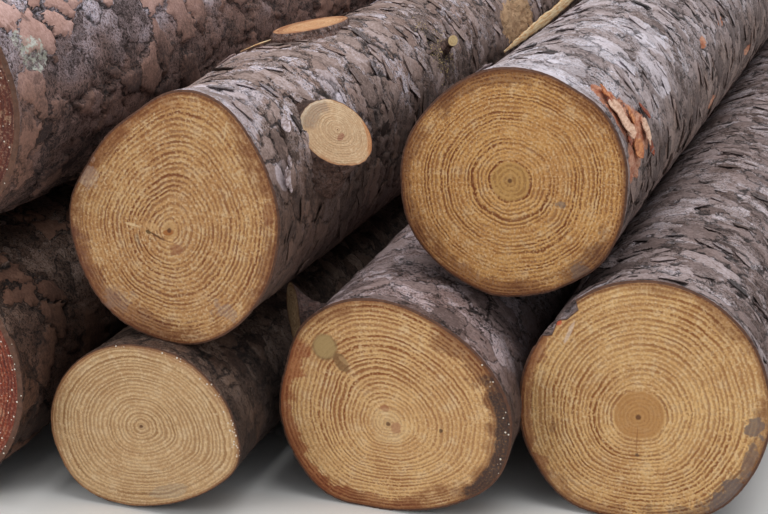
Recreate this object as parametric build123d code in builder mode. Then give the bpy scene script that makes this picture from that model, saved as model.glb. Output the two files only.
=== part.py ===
# A stack of seven pine logs, three on top of four, as they lie on level ground.
#
# Each log is one solid: a tapered, out-of-round stem, sawn square across at both ends.
# Some still carry what the saw left of their branches. +Y runs along the logs, from the
# saw cuts at the front to the ones at the back, +X is to the right and +Z is up.
# The origin is the middle of the stack's footprint, on the ground. All sizes are in mm
# and all angles in degrees, measured from +X towards +Z.
import os
from math import acos, atan2, cos, hypot, pi, radians, sin

from build123d import *

# Sizes that all the logs share
stock_length = 2440.0  # an 8 ft saw log
touch_clearance = 0.5  # left between two logs that rest on each other
outline_points = 32  # points that carry each section's curve

# Bottom row, from left to right. A radius is the front saw cut's mean radius.
bottom_1_radius = 173.0
bottom_2_radius = 125.0
bottom_3_radius = 157.0
bottom_4_radius = 169.0
bottom_2_gap = 13.0  # open at the front between logs 1 and 2, closed at the back
bottom_3_gap = 16.0  # the same between logs 2 and 3

# Top row, from left to right. A gap is open at the front and closed at the back.
top_1_radius = 183.0
top_2_radius = 154.0
top_3_radius = 152.0
top_1_gap = 47.0  # between log 1 and log 2, at its right
top_2_gap = 50.0  # under log 2's right side, held open by a branch stub
top_3_gap = 12.0  # under log 3, held open by two knots

# What the saw left of the branches. Sizes are halves, along the log and around it.
flank_stub_half_length = 31.0
flank_stub_half_width = 50.0
flank_stub_height = 28.0
crown_stub_half_length = 93.0
crown_stub_half_width = 39.0
crown_stub_height = 7.0
twig_half_length = 11.0
twig_half_width = 8.5
twig_height = 15.0
prop_half_length = 23.5
prop_half_width = 24.5
knot_half_length = 60.0
knot_half_width = 34.0

# The tear that the felling left in the saw cut of the fourth log in the bottom row
tear_angle = 139.0
tear_half_turn = 12.5
tear_depth = 14.0
tear_length = 75.0


class Log:
    """One stem. Its outline is a circle with an oval and a three-lobed part added."""

    def __init__(self, name, radius, **shape):
        self.name = name
        self.radius = radius
        self.length = stock_length + shape.get("trim", 0.0)
        self.front = shape["set_back"]  # how far back the front saw cut lies
        self.back = self.front + self.length
        self.taper = shape["taper"]  # growth of the radius per mm towards the back
        self.oval, self.oval_at = shape["oval"]
        self.lobe, self.lobe_at = shape["lobe"]
        self.belly = shape.get("belly", 0.0)  # how much its own weight flattened the underside
        self.marks = shape.get("marks", [])  # where stubs start and end, from the front
        self.centres = None

    def reach(self, angle, y):
        """Distance from the axis to the bark, at an angle in radians in the section at y."""
        oval = self.oval * cos(2 * (angle - radians(self.oval_at)))
        lobe = self.lobe * cos(3 * (angle - radians(self.lobe_at)))
        flat = self.belly * max(0.0, -sin(angle)) ** 4
        growth = 1 + self.taper * (y - self.front) / self.radius
        return (self.radius + oval + lobe - flat) * growth

    def rest(self, front_centre, back_centre):
        """Fix the axis by its centres (x, z) in the two saw cuts."""
        self.centres = (front_centre, back_centre)

    def centre(self, y):
        """The axis's place (x, z) in the section at y."""
        (x_1, z_1), (x_2, z_2) = self.centres
        share = (y - self.front) / self.length
        return x_1 + (x_2 - x_1) * share, z_1 + (z_2 - z_1) * share

    def drop(self, y):
        """Distance from the axis down to the section's lowest point."""
        return max(-self.reach(a, y) * sin(a) for a in fan(-pi / 2, pi / 3))


def fan(middle, half_width, count=120):
    """Angles spread evenly about a middle one."""
    return [middle + half_width * (2 * i / count - 1) for i in range(count + 1)]


def space(log, other, y):
    """How far apart two logs are in the section at y."""
    (x, z), (other_x, other_z) = log.centre(y), other.centre(y)
    spaces = []
    for angle in fan(atan2(other_z - z, other_x - x), pi / 4):
        reach = log.reach(angle, y)
        across, up = x + reach * cos(angle) - other_x, z + reach * sin(angle) - other_z
        spaces.append(hypot(across, up) - other.reach(atan2(up, across), y))
    return min(spaces)


def spare(log, other, front_gap):
    """How much closer the log's front half and its back half could lie to the other log.

    The gap that is wanted between them closes from the front to the back.
    """
    first, last = max(log.front, other.front), min(log.back, other.back)
    left_over = []
    for i in range(13):
        share = i / 12
        wanted = front_gap + (touch_clearance - front_gap) * share
        left_over.append(space(log, other, first + (last - first) * share) - wanted)
    return min(left_over[:7]), min(left_over[6:])


def lie_on_ground(log, left, front_gap):
    """Lay a log on the ground at the right of another, with a gap that closes to the back."""
    xs = [left.centre(y)[0] + left.radius + log.radius for y in (log.front, log.back)]
    for _ in range(20):
        log.rest((xs[0], log.drop(log.front)), (xs[1], log.drop(log.back)))
        xs = [x - over for x, over in zip(xs, spare(log, left, front_gap))]


def lie_in_saddle(log, left, right, left_gap, right_gap):
    """Lay a log on two others. At the back it touches both, and at the front gaps can be open."""
    to_left = [log.radius + left.radius] * 2
    to_right = [log.radius + right.radius] * 2
    for _ in range(40):
        centres = []
        for y, left_reach, right_reach in zip((log.front, log.back), to_left, to_right):
            (left_x, left_z), (right_x, right_z) = left.centre(y), right.centre(y)
            between = hypot(right_x - left_x, right_z - left_z)
            share = (left_reach**2 + between**2 - right_reach**2) / (2 * left_reach * between)
            turn = atan2(right_z - left_z, right_x - left_x) + acos(share)
            centres.append((left_x + left_reach * cos(turn), left_z + left_reach * sin(turn)))
        log.rest(*centres)
        to_left = [reach - over for reach, over in zip(to_left, spare(log, left, left_gap))]
        to_right = [reach - over for reach, over in zip(to_right, spare(log, right, right_gap))]


# The shapes of the logs
bottom_1 = Log(
    "bottom_log_1", bottom_1_radius, set_back=0.0, taper=-0.003, oval=(4.0, 90.0),
    lobe=(2.0, 20.0), belly=10.0,
)
bottom_2 = Log(
    "bottom_log_2", bottom_2_radius, set_back=56.0, taper=0.001, oval=(10.0, 12.0),
    lobe=(3.0, -12.0), trim=-25.0,
)
bottom_3 = Log(
    "bottom_log_3", bottom_3_radius, set_back=170.0, taper=0.005, oval=(4.0, -33.0),
    lobe=(4.0, -2.0), belly=12.0, trim=15.0, marks=[90.0, 130.0, 300.0],
)
bottom_4 = Log(
    "bottom_log_4", bottom_4_radius, set_back=253.0, taper=-0.002, oval=(6.5, 76.0),
    lobe=(1.2, 28.0), belly=11.0, trim=-10.0, marks=[75.0, 220.0],
)
top_1 = Log(
    "top_log_1", top_1_radius, set_back=-6.0, taper=0.001, oval=(4.0, 75.0), lobe=(2.0, 0.0),
    trim=20.0,
)
top_2 = Log(
    "top_log_2", top_2_radius, set_back=89.0, taper=-0.001, oval=(13.0, 70.0), lobe=(4.8, -52.0),
    marks=[120.0, 250.0, 390.0, 660.0, 750.0, 805.0],
)
top_3 = Log(
    "top_log_3", top_3_radius, set_back=288.0, taper=0.0035, oval=(3.0, 50.0), lobe=(1.3, -38.0),
    trim=-35.0,
)
logs = (bottom_1, bottom_2, bottom_3, bottom_4, top_1, top_2, top_3)

# Stack them: the bottom row on the ground, then the top row in the saddles between its logs
bottom_1.rest((0.0, bottom_1.drop(bottom_1.front)), (0.0, bottom_1.drop(bottom_1.back)))
lie_on_ground(bottom_2, bottom_1, bottom_2_gap)
lie_on_ground(bottom_3, bottom_2, bottom_3_gap)
lie_on_ground(bottom_4, bottom_3, touch_clearance)
lie_in_saddle(top_2, bottom_2, bottom_3, touch_clearance, top_2_gap)
lie_in_saddle(top_1, bottom_1, top_2, touch_clearance, top_1_gap)
lie_in_saddle(top_3, bottom_3, bottom_4, top_3_gap, top_3_gap)


def rim(log, y):
    """Points along the log's outline in the section at y, back to the first one."""
    x, z = log.centre(y)
    turns = [2 * pi * i / outline_points for i in range(outline_points + 1)]
    return [(x + log.reach(a, y) * cos(a), z + log.reach(a, y) * sin(a)) for a in turns]


def stem(log):
    """Loft the log's sections. More of them lie around stubs, to keep the faces there short."""
    with BuildPart() as body:
        for along in sorted([0.0, log.length / 2, log.length] + log.marks):
            points = rim(log, log.front + along)
            with BuildSketch(Plane.XZ.offset(-log.front - along)):
                with BuildLine():
                    for i in range(0, outline_points, 2):
                        ThreePointArc(points[i], points[i + 1], points[i + 2])
                make_face()
        loft(ruled=True, clean=False)
    return body.part


class Branch:
    """What is left of a branch: an oval stub that flares out to a collar in the bark."""

    def __init__(self, log, along, angle, half_length, half_width):
        y = log.front + along
        x, z = log.centre(y)
        self.half_length = half_length
        self.half_width = half_width
        self.outwards = Vector(cos(radians(angle)), 0, sin(radians(angle)))
        self.root = Vector(x, y, z) + self.outwards * log.reach(radians(angle), y)

    def at(self, height):
        """Point on the stub's axis at a height above the bark."""
        return self.root + self.outwards * height

    def side(self, turn):
        """Offset from the stub's axis to its side, at an angle around it."""
        lengthwise = Vector(0, 1, 0)
        around = self.outwards.cross(lengthwise)
        return lengthwise * self.half_length * cos(turn) + around * self.half_width * sin(turn)

    def flare(self, stages):
        """Loft ovals of the stub's own shape, each at a height and a share of its size."""
        with BuildPart() as body:
            for height, share in stages:
                with BuildSketch(Plane(self.at(height), x_dir=(0, 1, 0), z_dir=self.outwards)):
                    Ellipse(self.half_length * share, self.half_width * share)
            loft()
        return body.part

    def sawn(self, height, facing, collar=1.55):
        """The stub with its collar, sawn through its axis at a height, facing a given way."""
        sink = self.half_width * 0.55
        straight = sink * 1.6
        stages = [(-sink, collar), (sink * 0.15, 1.22), (sink * 0.8, 1.04), (straight, 1.0)]
        with BuildPart() as stub:
            add(self.flare(stages))
            with BuildSketch(Plane(self.at(straight), x_dir=(0, 1, 0), z_dir=self.outwards)):
                Ellipse(self.half_length, self.half_width)
            extrude(amount=height + self.half_width)
            split(bisect_by=Plane(self.at(height), z_dir=facing), keep=Keep.BOTTOM)
        return stub.part

    def overgrown(self, height):
        """A low rounded knot where the stem has grown over the branch."""
        stages = [(-0.5 * self.half_width, 1.15), (0.2 * height, 0.72), (0.8 * height, 0.4)]
        return self.flare(stages + [(height, 0.2)])


def height_under(branch, facing, held):
    """Height to saw a stub at so that the rim of its end just touches the log it holds up."""
    low, high = 0.0, held.radius
    for _ in range(40):
        height = (low + high) / 2
        spaces = []
        for turn in fan(pi, pi, 48):
            side = branch.side(turn)
            edge = branch.at(height - side.dot(facing) / branch.outwards.dot(facing)) + side
            x, z = held.centre(edge.Y)
            across, up = edge.X - x, edge.Z - z
            spaces.append(hypot(across, up) - held.reach(atan2(up, across), edge.Y))
        low, high = (height, high) if min(spaces) > touch_clearance else (low, height)
    return low


def knot_under(log, held, along):
    """A knot on a log, at a distance behind its front, that just touches the log it holds up."""
    y = log.front + along
    (x, z), (held_x, held_z) = log.centre(y), held.centre(y)
    angle = atan2(held_z - z, held_x - x) * 180 / pi
    knot = Branch(log, along, angle, knot_half_length, knot_half_width)
    return knot.overgrown(height_under(knot, knot.outwards, held))


def facing(angle, forwards):
    """Direction square to a saw cut: an angle about the log, and a lean towards the front."""
    return Vector(cos(radians(angle)), -forwards, sin(radians(angle)))


flank = Branch(top_2, 179.0, 31.0, flank_stub_half_length, flank_stub_half_width)
crown = Branch(top_2, 524.0, 96.0, crown_stub_half_length, crown_stub_half_width)
twig = Branch(top_2, 776.0, 40.0, twig_half_length, twig_half_width)
prop = Branch(bottom_3, 42.0, 144.0, prop_half_length, prop_half_width)
prop_facing = facing(175.0, 0.79)

stubs = {
    top_2: [
        flank.sawn(flank_stub_height, facing(42.0, 0.78)),
        crown.sawn(crown_stub_height, facing(97.5, -0.04), collar=1.35),
        twig.sawn(twig_height, facing(30.0, 0.45)),
    ],
    bottom_3: [
        prop.sawn(height_under(prop, prop_facing, top_2), prop_facing),
        knot_under(bottom_3, top_3, 210.0),
    ],
    bottom_4: [knot_under(bottom_4, top_3, 150.0)],
}


def torn_outline(log, along, share):
    """Outline of what the tear takes away at a distance behind the front, as its share closes."""
    y = log.front + along
    x, z = log.centre(y)
    bites = ((-1.0, 1.0), (-0.25, 1.0), (0.05, 0.45), (0.75, 0.9), (1.0, 0.0))
    points = []
    for turn, bite in ((-1.0, -2.0), *bites, (1.0, -2.0)):
        angle = radians(tear_angle + tear_half_turn * share * turn)
        reach = log.reach(angle, y) - tear_depth * (bite * share - (1 - share) * 0.6)
        points.append((x + reach * cos(angle), z + reach * sin(angle)))
    return points


with BuildPart() as tear:
    for along, share in ((-5.0, 1.0), (tear_length, 0.3)):
        with BuildSketch(Plane.XZ.offset(-bottom_4.front - along)):
            with BuildLine():
                Polyline(*torn_outline(bottom_4, along, share), close=True)
            make_face()
    loft(ruled=True)

# Build the logs, then move the stack so that its footprint is centred on the origin
bodies = []
for log in logs:
    with BuildPart() as body:
        add(stem(log), clean=False)
        for stub in stubs.get(log, []):
            add(stub, clean=False)
        if log is bottom_4:
            add(tear.part, mode=Mode.SUBTRACT, clean=False)
    bodies.append(body.part)

boxes = [body.bounding_box() for body in bodies]
middle_x = (min(box.min.X for box in boxes) + max(box.max.X for box in boxes)) / 2
middle_y = (min(box.min.Y for box in boxes) + max(box.max.Y for box in boxes)) / 2
lowest = min(box.min.Z for box in boxes)
to_origin = Location((-middle_x, -middle_y, -lowest))

os.makedirs("parts", exist_ok=True)
for log, body in zip(logs, bodies):
    placed = body.moved(to_origin)
    placed.label = log.name
    export_step(placed, "parts/" + log.name + ".step")
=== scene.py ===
# %% [markdown]
# # A stack of pine logs
# Seven logs lie on a level floor, three in the saddles between four. The CAD frame gives each
# log's place and outline. Blender adds what CAD leaves out: bark, growth rings, stains, resin,
# torn slivers and flakes, and the grain of the sawn branches. Sizes are in metres where no
# comment says otherwise.

# %% The frame and what every cell needs
from math import cos, pi, radians, sin

import bmesh
import bpy
import numpy as np
from mathutils import Matrix, Vector
from mathutils.bvhtree import BVHTree


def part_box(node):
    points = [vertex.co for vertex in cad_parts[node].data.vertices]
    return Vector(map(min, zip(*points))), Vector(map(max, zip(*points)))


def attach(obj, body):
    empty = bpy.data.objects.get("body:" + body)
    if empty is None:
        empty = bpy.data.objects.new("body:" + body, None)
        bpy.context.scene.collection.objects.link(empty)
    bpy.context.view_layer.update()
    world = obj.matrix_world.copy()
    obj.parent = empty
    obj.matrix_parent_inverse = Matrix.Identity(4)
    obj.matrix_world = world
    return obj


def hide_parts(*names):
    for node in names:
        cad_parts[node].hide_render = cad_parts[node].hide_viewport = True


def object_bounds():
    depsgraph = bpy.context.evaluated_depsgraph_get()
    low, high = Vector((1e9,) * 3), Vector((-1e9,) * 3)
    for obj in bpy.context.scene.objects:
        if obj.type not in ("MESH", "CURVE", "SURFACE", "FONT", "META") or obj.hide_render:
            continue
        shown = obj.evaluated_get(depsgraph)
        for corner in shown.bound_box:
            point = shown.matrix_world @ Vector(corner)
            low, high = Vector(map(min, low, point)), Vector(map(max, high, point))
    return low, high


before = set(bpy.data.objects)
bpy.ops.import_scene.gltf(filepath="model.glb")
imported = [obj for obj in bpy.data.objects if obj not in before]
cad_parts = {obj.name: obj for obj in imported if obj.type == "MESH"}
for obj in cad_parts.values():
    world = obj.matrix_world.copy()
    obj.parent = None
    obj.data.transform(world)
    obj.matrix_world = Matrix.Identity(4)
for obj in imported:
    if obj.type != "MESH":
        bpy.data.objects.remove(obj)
cad_low, cad_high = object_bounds()
print("CAD box", [round(v, 3) for v in (*cad_low, *cad_high)])

# %% [markdown]
# ## The camera
# The photograph was taken from in front of the stack, a little to its right, and looking down
# over the top row. A long lens keeps the far ends of the logs large. The place and the angles
# below come from fitting what shows of the saw cuts and of four logs' flanks, so the camera is
# set once, here, and the shapes are then made to match through it.

# %% The camera
def add_object(name, data):
    """Makes an object of a mesh, a lamp or a camera, and puts it in the scene."""
    made = bpy.data.objects.new(name, data)
    bpy.context.scene.collection.objects.link(made)
    return made


camera_data = bpy.data.cameras.new("camera")
camera_data.lens = 83.39
camera_data.sensor_width = 36.0
camera_data.clip_end = 50.0
camera = add_object("camera", camera_data)
yaw, pitch, roll = 0.31337, 0.30801, 0.01952
ahead = Vector((-sin(yaw) * cos(pitch), cos(yaw) * cos(pitch), -sin(pitch)))
level = Vector((cos(yaw), sin(yaw), 0.0))
upright = level.cross(ahead)
right_hand = level * cos(roll) + upright * sin(roll)
upwards = upright * cos(roll) - level * sin(roll)
turn = Matrix((right_hand, upwards, -ahead)).transposed().to_4x4()
camera.matrix_world = Matrix.Translation((0.80847, -3.23736, 1.04529)) @ turn
bpy.context.scene.camera = camera
print("camera at", [round(v, 2) for v in camera.location], "looking", [round(v, 2) for v in ahead])

# %% [markdown]
# ## Reading a log off the frame
# Bark follows the stem that CAD gives, so each log is measured first. A ray towards the axis
# finds the distance to the bark, anywhere along the log and at any angle. The CAD mesh is made
# of flat facets, so the outline is smoothed by keeping only its first few waves around the
# circle, which is also how a stem is really shaped: round, a little oval, and slightly
# three-sided.

# %% Measuring a log
around_count = 240  # columns of vertices around each log
ray_start = 0.4  # how far from the axis a ray starts, well outside every log
near_cut = 0.005  # where the outline is read, behind a saw cut


def outwards_at(angle):
    """The direction away from a log's axis at an angle in radians."""
    return Vector((cos(angle), 0.0, sin(angle)))


class Stem:
    """The outline and the axis of one log, measured on its CAD node."""

    def __init__(self, name, clear=near_cut):
        self.name = name
        copy = bmesh.new()
        copy.from_mesh(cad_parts[name].data)
        bmesh.ops.remove_doubles(copy, verts=copy.verts, dist=1e-5)
        self.tree = BVHTree.FromBMesh(copy)
        low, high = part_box(name)
        self.front, self.back = low[1], high[1]
        self.length = self.back - self.front
        self.front_middle = self.cut_middle(copy, self.front)
        self.back_middle = self.cut_middle(copy, self.back)
        copy.free()
        self.angles = np.arange(around_count) * 2 * pi / around_count
        near, far = clear, self.length - near_cut
        rim_near, rim_far = self.waves(self.around(near)), self.waves(self.around(far))
        self.growth = (rim_far - rim_near) / (far - near)
        self.rim_front = rim_near - self.growth * near

    def cut_middle(self, copy, y):
        """Middle (x, z) of the saw cut at y, weighted by area."""
        faces = [f for f in copy.faces if abs(f.calc_center_median().y - y) < 2e-4]
        areas = np.array([f.calc_area() for f in faces])
        spots = np.array([f.calc_center_median() for f in faces])[:, [0, 2]]
        return (spots * areas[:, None]).sum(0) / areas.sum()

    def middle(self, along):
        """The axis's place (x, z) at a distance behind the front saw cut."""
        share = np.asarray(along)[..., None] / self.length
        return self.front_middle + (self.back_middle - self.front_middle) * share

    def reach(self, along, angle):
        """Distance from the axis to the bark surface of the solid, found by a ray."""
        x, z = self.middle(along)
        outwards = outwards_at(angle)
        start = Vector((x, self.front + along, z)) + outwards * ray_start
        hit = self.tree.ray_cast(start, -outwards)[0]
        return ray_start - (start - hit).length

    def around(self, along):
        """The solid's radii all around, at a distance behind the front saw cut."""
        return np.array([self.reach(along, angle) for angle in self.angles])

    def waves(self, radii, kept=7):
        """The outline with only its first few waves kept."""
        spectrum = np.fft.rfft(radii)
        spectrum[kept:] = 0
        return np.fft.irfft(spectrum, around_count)

    def radius(self, along):
        """Radii around the smooth stem at a distance behind the front saw cut."""
        return self.rim_front + self.growth * along

    def radius_at(self, along, angle):
        """Radius of the smooth stem at one angle in radians."""
        return float(np.interp(angle % (2 * pi), self.angles, self.radius(along), period=2 * pi))

    def point(self, along, angle, depth=0.0):
        """A point on the smooth stem, or at a depth under it."""
        x, z = self.middle(along)
        r = self.radius_at(along, angle) - depth
        return Vector((x + r * cos(angle), self.front + along, z + r * sin(angle)))


# The torn saw cut is read behind its tear, and every other one close to its edge.
behind_tear = {"bottom_log_4": 0.08}
stems = {name: Stem(name, behind_tear.get(name, near_cut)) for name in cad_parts}
for stem in stems.values():
    print(
        stem.name, "length", round(stem.length, 3), "mean radius", round(stem.rim_front.mean(), 4)
    )

# %% [markdown]
# ## Building node trees by name
# Geometry Nodes and shaders are both made of nodes. The helpers below add a node, fill its
# inputs by name, and return the output that the next node needs, so that a tree reads like a
# short list of steps.

# %% Helpers for node trees
def fill(tree, socket, value):
    """Links another node's output to an input, or writes a plain value into it."""
    if isinstance(value, bpy.types.NodeSocket):
        tree.links.new(value, socket)
    else:
        socket.default_value = value


def place(tree, kind, settings=None, **inputs):
    """Adds a node. An input's value is a number, a colour or another node's output."""
    node = tree.nodes.new(kind)
    for key, value in (settings or {}).items():
        setattr(node, key, value)
    for key, value in inputs.items():
        number = key[1:].isdigit()
        fill(tree, node.inputs[int(key[1:]) if number else key.replace("_", " ")], value)
    return node


def maths(tree, operation, a, b=0.0, c=0.0, clamp=False):
    """Adds a Math node and returns its result."""
    node = place(tree, "ShaderNodeMath", {"operation": operation, "use_clamp": clamp}, i0=a, i1=b)
    if operation == "MULTIPLY_ADD":
        fill(tree, node.inputs[2], c)
    return node.outputs[0]


def vectors(tree, operation, a, b=(0.0, 0.0, 0.0)):
    """Adds a Vector Math node and returns its vector, or its number where it makes one."""
    node = place(tree, "ShaderNodeVectorMath", {"operation": operation}, i0=a)
    if operation == "SCALE":
        fill(tree, node.inputs["Scale"], b)
        return node.outputs[0]
    fill(tree, node.inputs[1], b)
    return node.outputs["Value" if operation in ("DOT_PRODUCT", "LENGTH") else "Vector"]


def noise(tree, vector, scale, detail=2.0, roughness=0.5):
    """Adds a Noise Texture and returns its outputs."""
    node = place(tree, "ShaderNodeTexNoise", Vector=vector, Scale=scale, Detail=detail)
    node.inputs["Roughness"].default_value = roughness
    return node.outputs


def spread(tree, value, low, high, start=0.0, end=1.0):
    """Maps a value from low..high smoothly to start..end."""
    settings = {"interpolation_type": "SMOOTHSTEP"}
    node = place(tree, "ShaderNodeMapRange", settings, i0=value, i1=low, i2=high, i3=start, i4=end)
    return node.outputs[0]


def blend(tree, share, a, b):
    """Mixes two colours."""
    node = place(tree, "ShaderNodeMix", {"data_type": "RGBA"}, i0=share)
    fill(tree, node.inputs[6], a)
    fill(tree, node.inputs[7], b)
    return node.outputs[2]


def tint(red, green, blue):
    """A colour as a screen shows it, 0 to 255, turned into the linear values that nodes use."""
    return tuple(((c / 255 + 0.055) / 1.055) ** 2.4 for c in (red, green, blue)) + (1.0,)


def sockets(tree, inputs, outputs):
    """Gives a group its named inputs and outputs, and returns their two end nodes."""
    for name, kind, value in inputs:
        socket = tree.interface.new_socket(name, in_out="INPUT", socket_type=kind)
        if value is not None:
            socket.default_value = value
    for name, kind in outputs:
        tree.interface.new_socket(name, in_out="OUTPUT", socket_type=kind)
    return tree.nodes.new("NodeGroupInput").outputs, tree.nodes.new("NodeGroupOutput").inputs

# %% [markdown]
# ## The pattern of pine bark
# Pine bark is a pile of thin layers that split into plates and peel off one by one. Two simple
# patterns give this. A slow noise, cut into steps like a contour map, gives layers with ragged
# edges. A Voronoi pattern, bent by a second noise, parts them into plates, and shifts each plate
# by a step of its own. The pattern is needed twice: Geometry Nodes move the mesh by it, and the
# material draws its fine edges. So one function adds its nodes to any tree, and both trees read
# the same place on the bark, kept on each vertex as the attribute "skin".

# %% Layers and plates
def layers(tree, skin, size, stretch, seed, steps, rough, bend):
    """Adds the pattern to a tree. rough is the share of plates that are only crumbs."""
    long = place(tree, "ShaderNodeCombineXYZ", X=1.0, Y=stretch, Z=1.0).outputs[0]
    flat = vectors(tree, "DIVIDE", skin, vectors(tree, "SCALE", long, size))
    flat = vectors(tree, "ADD", flat, vectors(tree, "SCALE", (3.1, 7.7, 5.3), seed))
    sway = vectors(tree, "SUBTRACT", noise(tree, flat, 0.9, 4.0, 0.6)["Color"], (0.5, 0.5, 0.5))
    bent = vectors(tree, "ADD", flat, vectors(tree, "SCALE", sway, bend))
    cell = place(tree, "ShaderNodeTexVoronoi", Vector=bent, Scale=1.0).outputs
    edge = place(
        tree, "ShaderNodeTexVoronoi", {"feature": "DISTANCE_TO_EDGE"}, Vector=bent, Scale=1.0
    ).outputs["Distance"]
    own = place(tree, "ShaderNodeSeparateXYZ", Vector=cell["Color"]).outputs
    lean = vectors(
        tree, "DOT_PRODUCT", vectors(tree, "SUBTRACT", bent, cell["Position"]),
        vectors(tree, "SUBTRACT", cell["Color"], (0.5, 0.5, 0.5)),
    )
    total = maths(tree, "MULTIPLY", noise(tree, bent, 0.75, 4.0, 0.55)["Fac"], steps)
    total = maths(tree, "ADD", total, maths(tree, "MULTIPLY_ADD", own[0], 1.4, lean))
    inner = maths(tree, "MULTIPLY_ADD", noise(tree, bent, 1.7, 5.0, 0.65)["Fac"], 0.45, edge)
    kept = spread(tree, maths(tree, "SUBTRACT", own[1], rough), 0.0, 0.01)
    whole = maths(tree, "MULTIPLY", spread(tree, inner, 0.27, 0.285), kept)
    rimmed = maths(tree, "MULTIPLY", spread(tree, inner, 0.235, 0.265), kept)
    return {
        "bent": bent, "step": maths(tree, "FRACT", total), "level": maths(tree, "FLOOR", total),
        "edge": edge, "own": own, "plate": whole, "rim": maths(tree, "SUBTRACT", rimmed, whole),
    }


# %% [markdown]
# ## Bark relief with Geometry Nodes
# The tree moves every vertex inwards by its layer's depth, and deeper at the furrows between
# plates. It only cuts inwards, so the log keeps the size that CAD gives. It has named sizes and
# is used on every log with that log's own values. The attribute "inwards" on the mesh says which
# way is in, and grows from almost nothing at a saw cut, where a chainsaw trims the bark.

# %% The bark relief tree
def bark_relief_tree():
    """Moves a log's skin inwards by its bark, and keeps how open the furrows are."""
    tree = bpy.data.node_groups.new("Bark relief", "GeometryNodeTree")
    given, result = sockets(
        tree,
        [
            ("Geometry", "NodeSocketGeometry", None),
            ("Plate Width", "NodeSocketFloat", 0.04),
            ("Stretch", "NodeSocketFloat", 0.8),
            ("Steps", "NodeSocketFloat", 5.0),
            ("Peel", "NodeSocketFloat", 0.005),
            ("Furrow Depth", "NodeSocketFloat", 0.004),
            ("Furrow Width", "NodeSocketFloat", 0.1),
            ("Rough Share", "NodeSocketFloat", 0.3),
            ("Rough Depth", "NodeSocketFloat", 0.002),
            ("Bend", "NodeSocketFloat", 1.3),
            ("Grain", "NodeSocketFloat", 0.001),
            ("Seed", "NodeSocketFloat", 0.0),
            ("Material", "NodeSocketMaterial", None),
        ],
        [("Geometry", "NodeSocketGeometry")],
    )
    skin = place(
        tree, "GeometryNodeInputNamedAttribute", {"data_type": "FLOAT_VECTOR"}, Name="skin"
    ).outputs[0]
    bark = layers(
        tree, skin, given["Plate Width"], given["Stretch"], given["Seed"], given["Steps"],
        given["Rough Share"], given["Bend"],
    )
    ragged = maths(
        tree, "MULTIPLY_ADD", noise(tree, bark["bent"], 4.0, 3.0)["Fac"], 0.12, bark["edge"]
    )
    furrow = spread(
        tree, maths(tree, "SUBTRACT", ragged, 0.06), 0.0, given["Furrow Width"], 1.0, 0.0
    )
    gaping = spread(tree, noise(tree, bark["bent"], 0.5, 2.0)["Fac"], 0.38, 0.56, 0.25, 1.0)
    furrow = maths(tree, "MULTIPLY", furrow, gaping)
    crumbs = noise(tree, bark["bent"], 9.0, 3.0, 0.65)["Fac"]
    rough = maths(
        tree, "MULTIPLY", maths(tree, "SUBTRACT", 1.0, bark["plate"]), given["Rough Depth"]
    )
    rough = maths(tree, "MULTIPLY", rough, maths(tree, "MULTIPLY_ADD", crumbs, 1.6, 0.2))
    depth = maths(tree, "MULTIPLY_ADD", furrow, given["Furrow Depth"], rough)
    height = maths(
        tree, "DIVIDE", bark["level"], maths(tree, "ADD", given["Steps"], 1.0), clamp=True
    )
    depth = maths(tree, "MULTIPLY_ADD", maths(tree, "SUBTRACT", 1.0, height), given["Peel"], depth)
    fine = noise(tree, bark["bent"], 7.0, 4.0, 0.6)["Fac"]
    depth = maths(tree, "MULTIPLY_ADD", fine, given["Grain"], depth)
    inwards = place(
        tree, "GeometryNodeInputNamedAttribute", {"data_type": "FLOAT_VECTOR"}, Name="inwards"
    ).outputs[0]
    moved = place(
        tree, "GeometryNodeSetPosition", Geometry=given["Geometry"],
        Offset=vectors(tree, "SCALE", inwards, depth),
    ).outputs[0]
    store = place(
        tree, "GeometryNodeStoreNamedAttribute", {"data_type": "FLOAT", "domain": "POINT"},
        Geometry=moved, Name="furrow",
    )
    tree.links.new(furrow, store.inputs["Value"])
    real = place(tree, "GeometryNodeRealizeInstances", Geometry=store.outputs[0]).outputs[0]
    done = place(tree, "GeometryNodeSetMaterial", Geometry=real, Material=given["Material"])
    tree.links.new(done.outputs[0], result["Geometry"])
    return tree


bark_relief = bark_relief_tree()
print("bark relief:", len(bark_relief.nodes), "nodes")

# %% [markdown]
# ## Bark as a material
# The material draws the same layers again, so colour and shape agree, and adds a second, smaller
# set of flakes on top. Each layer of each plate gets a tone of its own, some grey and some
# reddish. Where a layer hangs over the one below, a thin dark slit of painted shadow shows, and it
# swells and fades along its length. Cracks, furrows and pits are drawn dark too, partly their own
# dark bark and partly painted shade. All of this is one shader node group that puts out plain
# masks and a height, and each log's material gives them its own colours.

# %% The bark layer group
def ramp(tree, value, stops):
    """Adds a Color Ramp from a list of (position, colour)."""
    node = place(tree, "ShaderNodeValToRGB", i0=value)
    band = node.color_ramp
    while len(band.elements) < len(stops):
        band.elements.new(0.5)
    for element, (position, colour) in zip(band.elements, stops):
        element.position = position
        element.color = colour
    return node.outputs[0]


def chance(tree, pattern, shift):
    """Three random numbers for each layer of each plate."""
    key = maths(tree, "MULTIPLY_ADD", pattern["own"][0], 37.0, shift)
    key = place(tree, "ShaderNodeCombineXYZ", X=pattern["level"], Y=key, Z=0.5).outputs[0]
    drawn = place(tree, "ShaderNodeTexWhiteNoise", {"noise_dimensions": "3D"}, Vector=key)
    return place(tree, "ShaderNodeSeparateXYZ", Vector=drawn.outputs["Color"]).outputs


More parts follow.
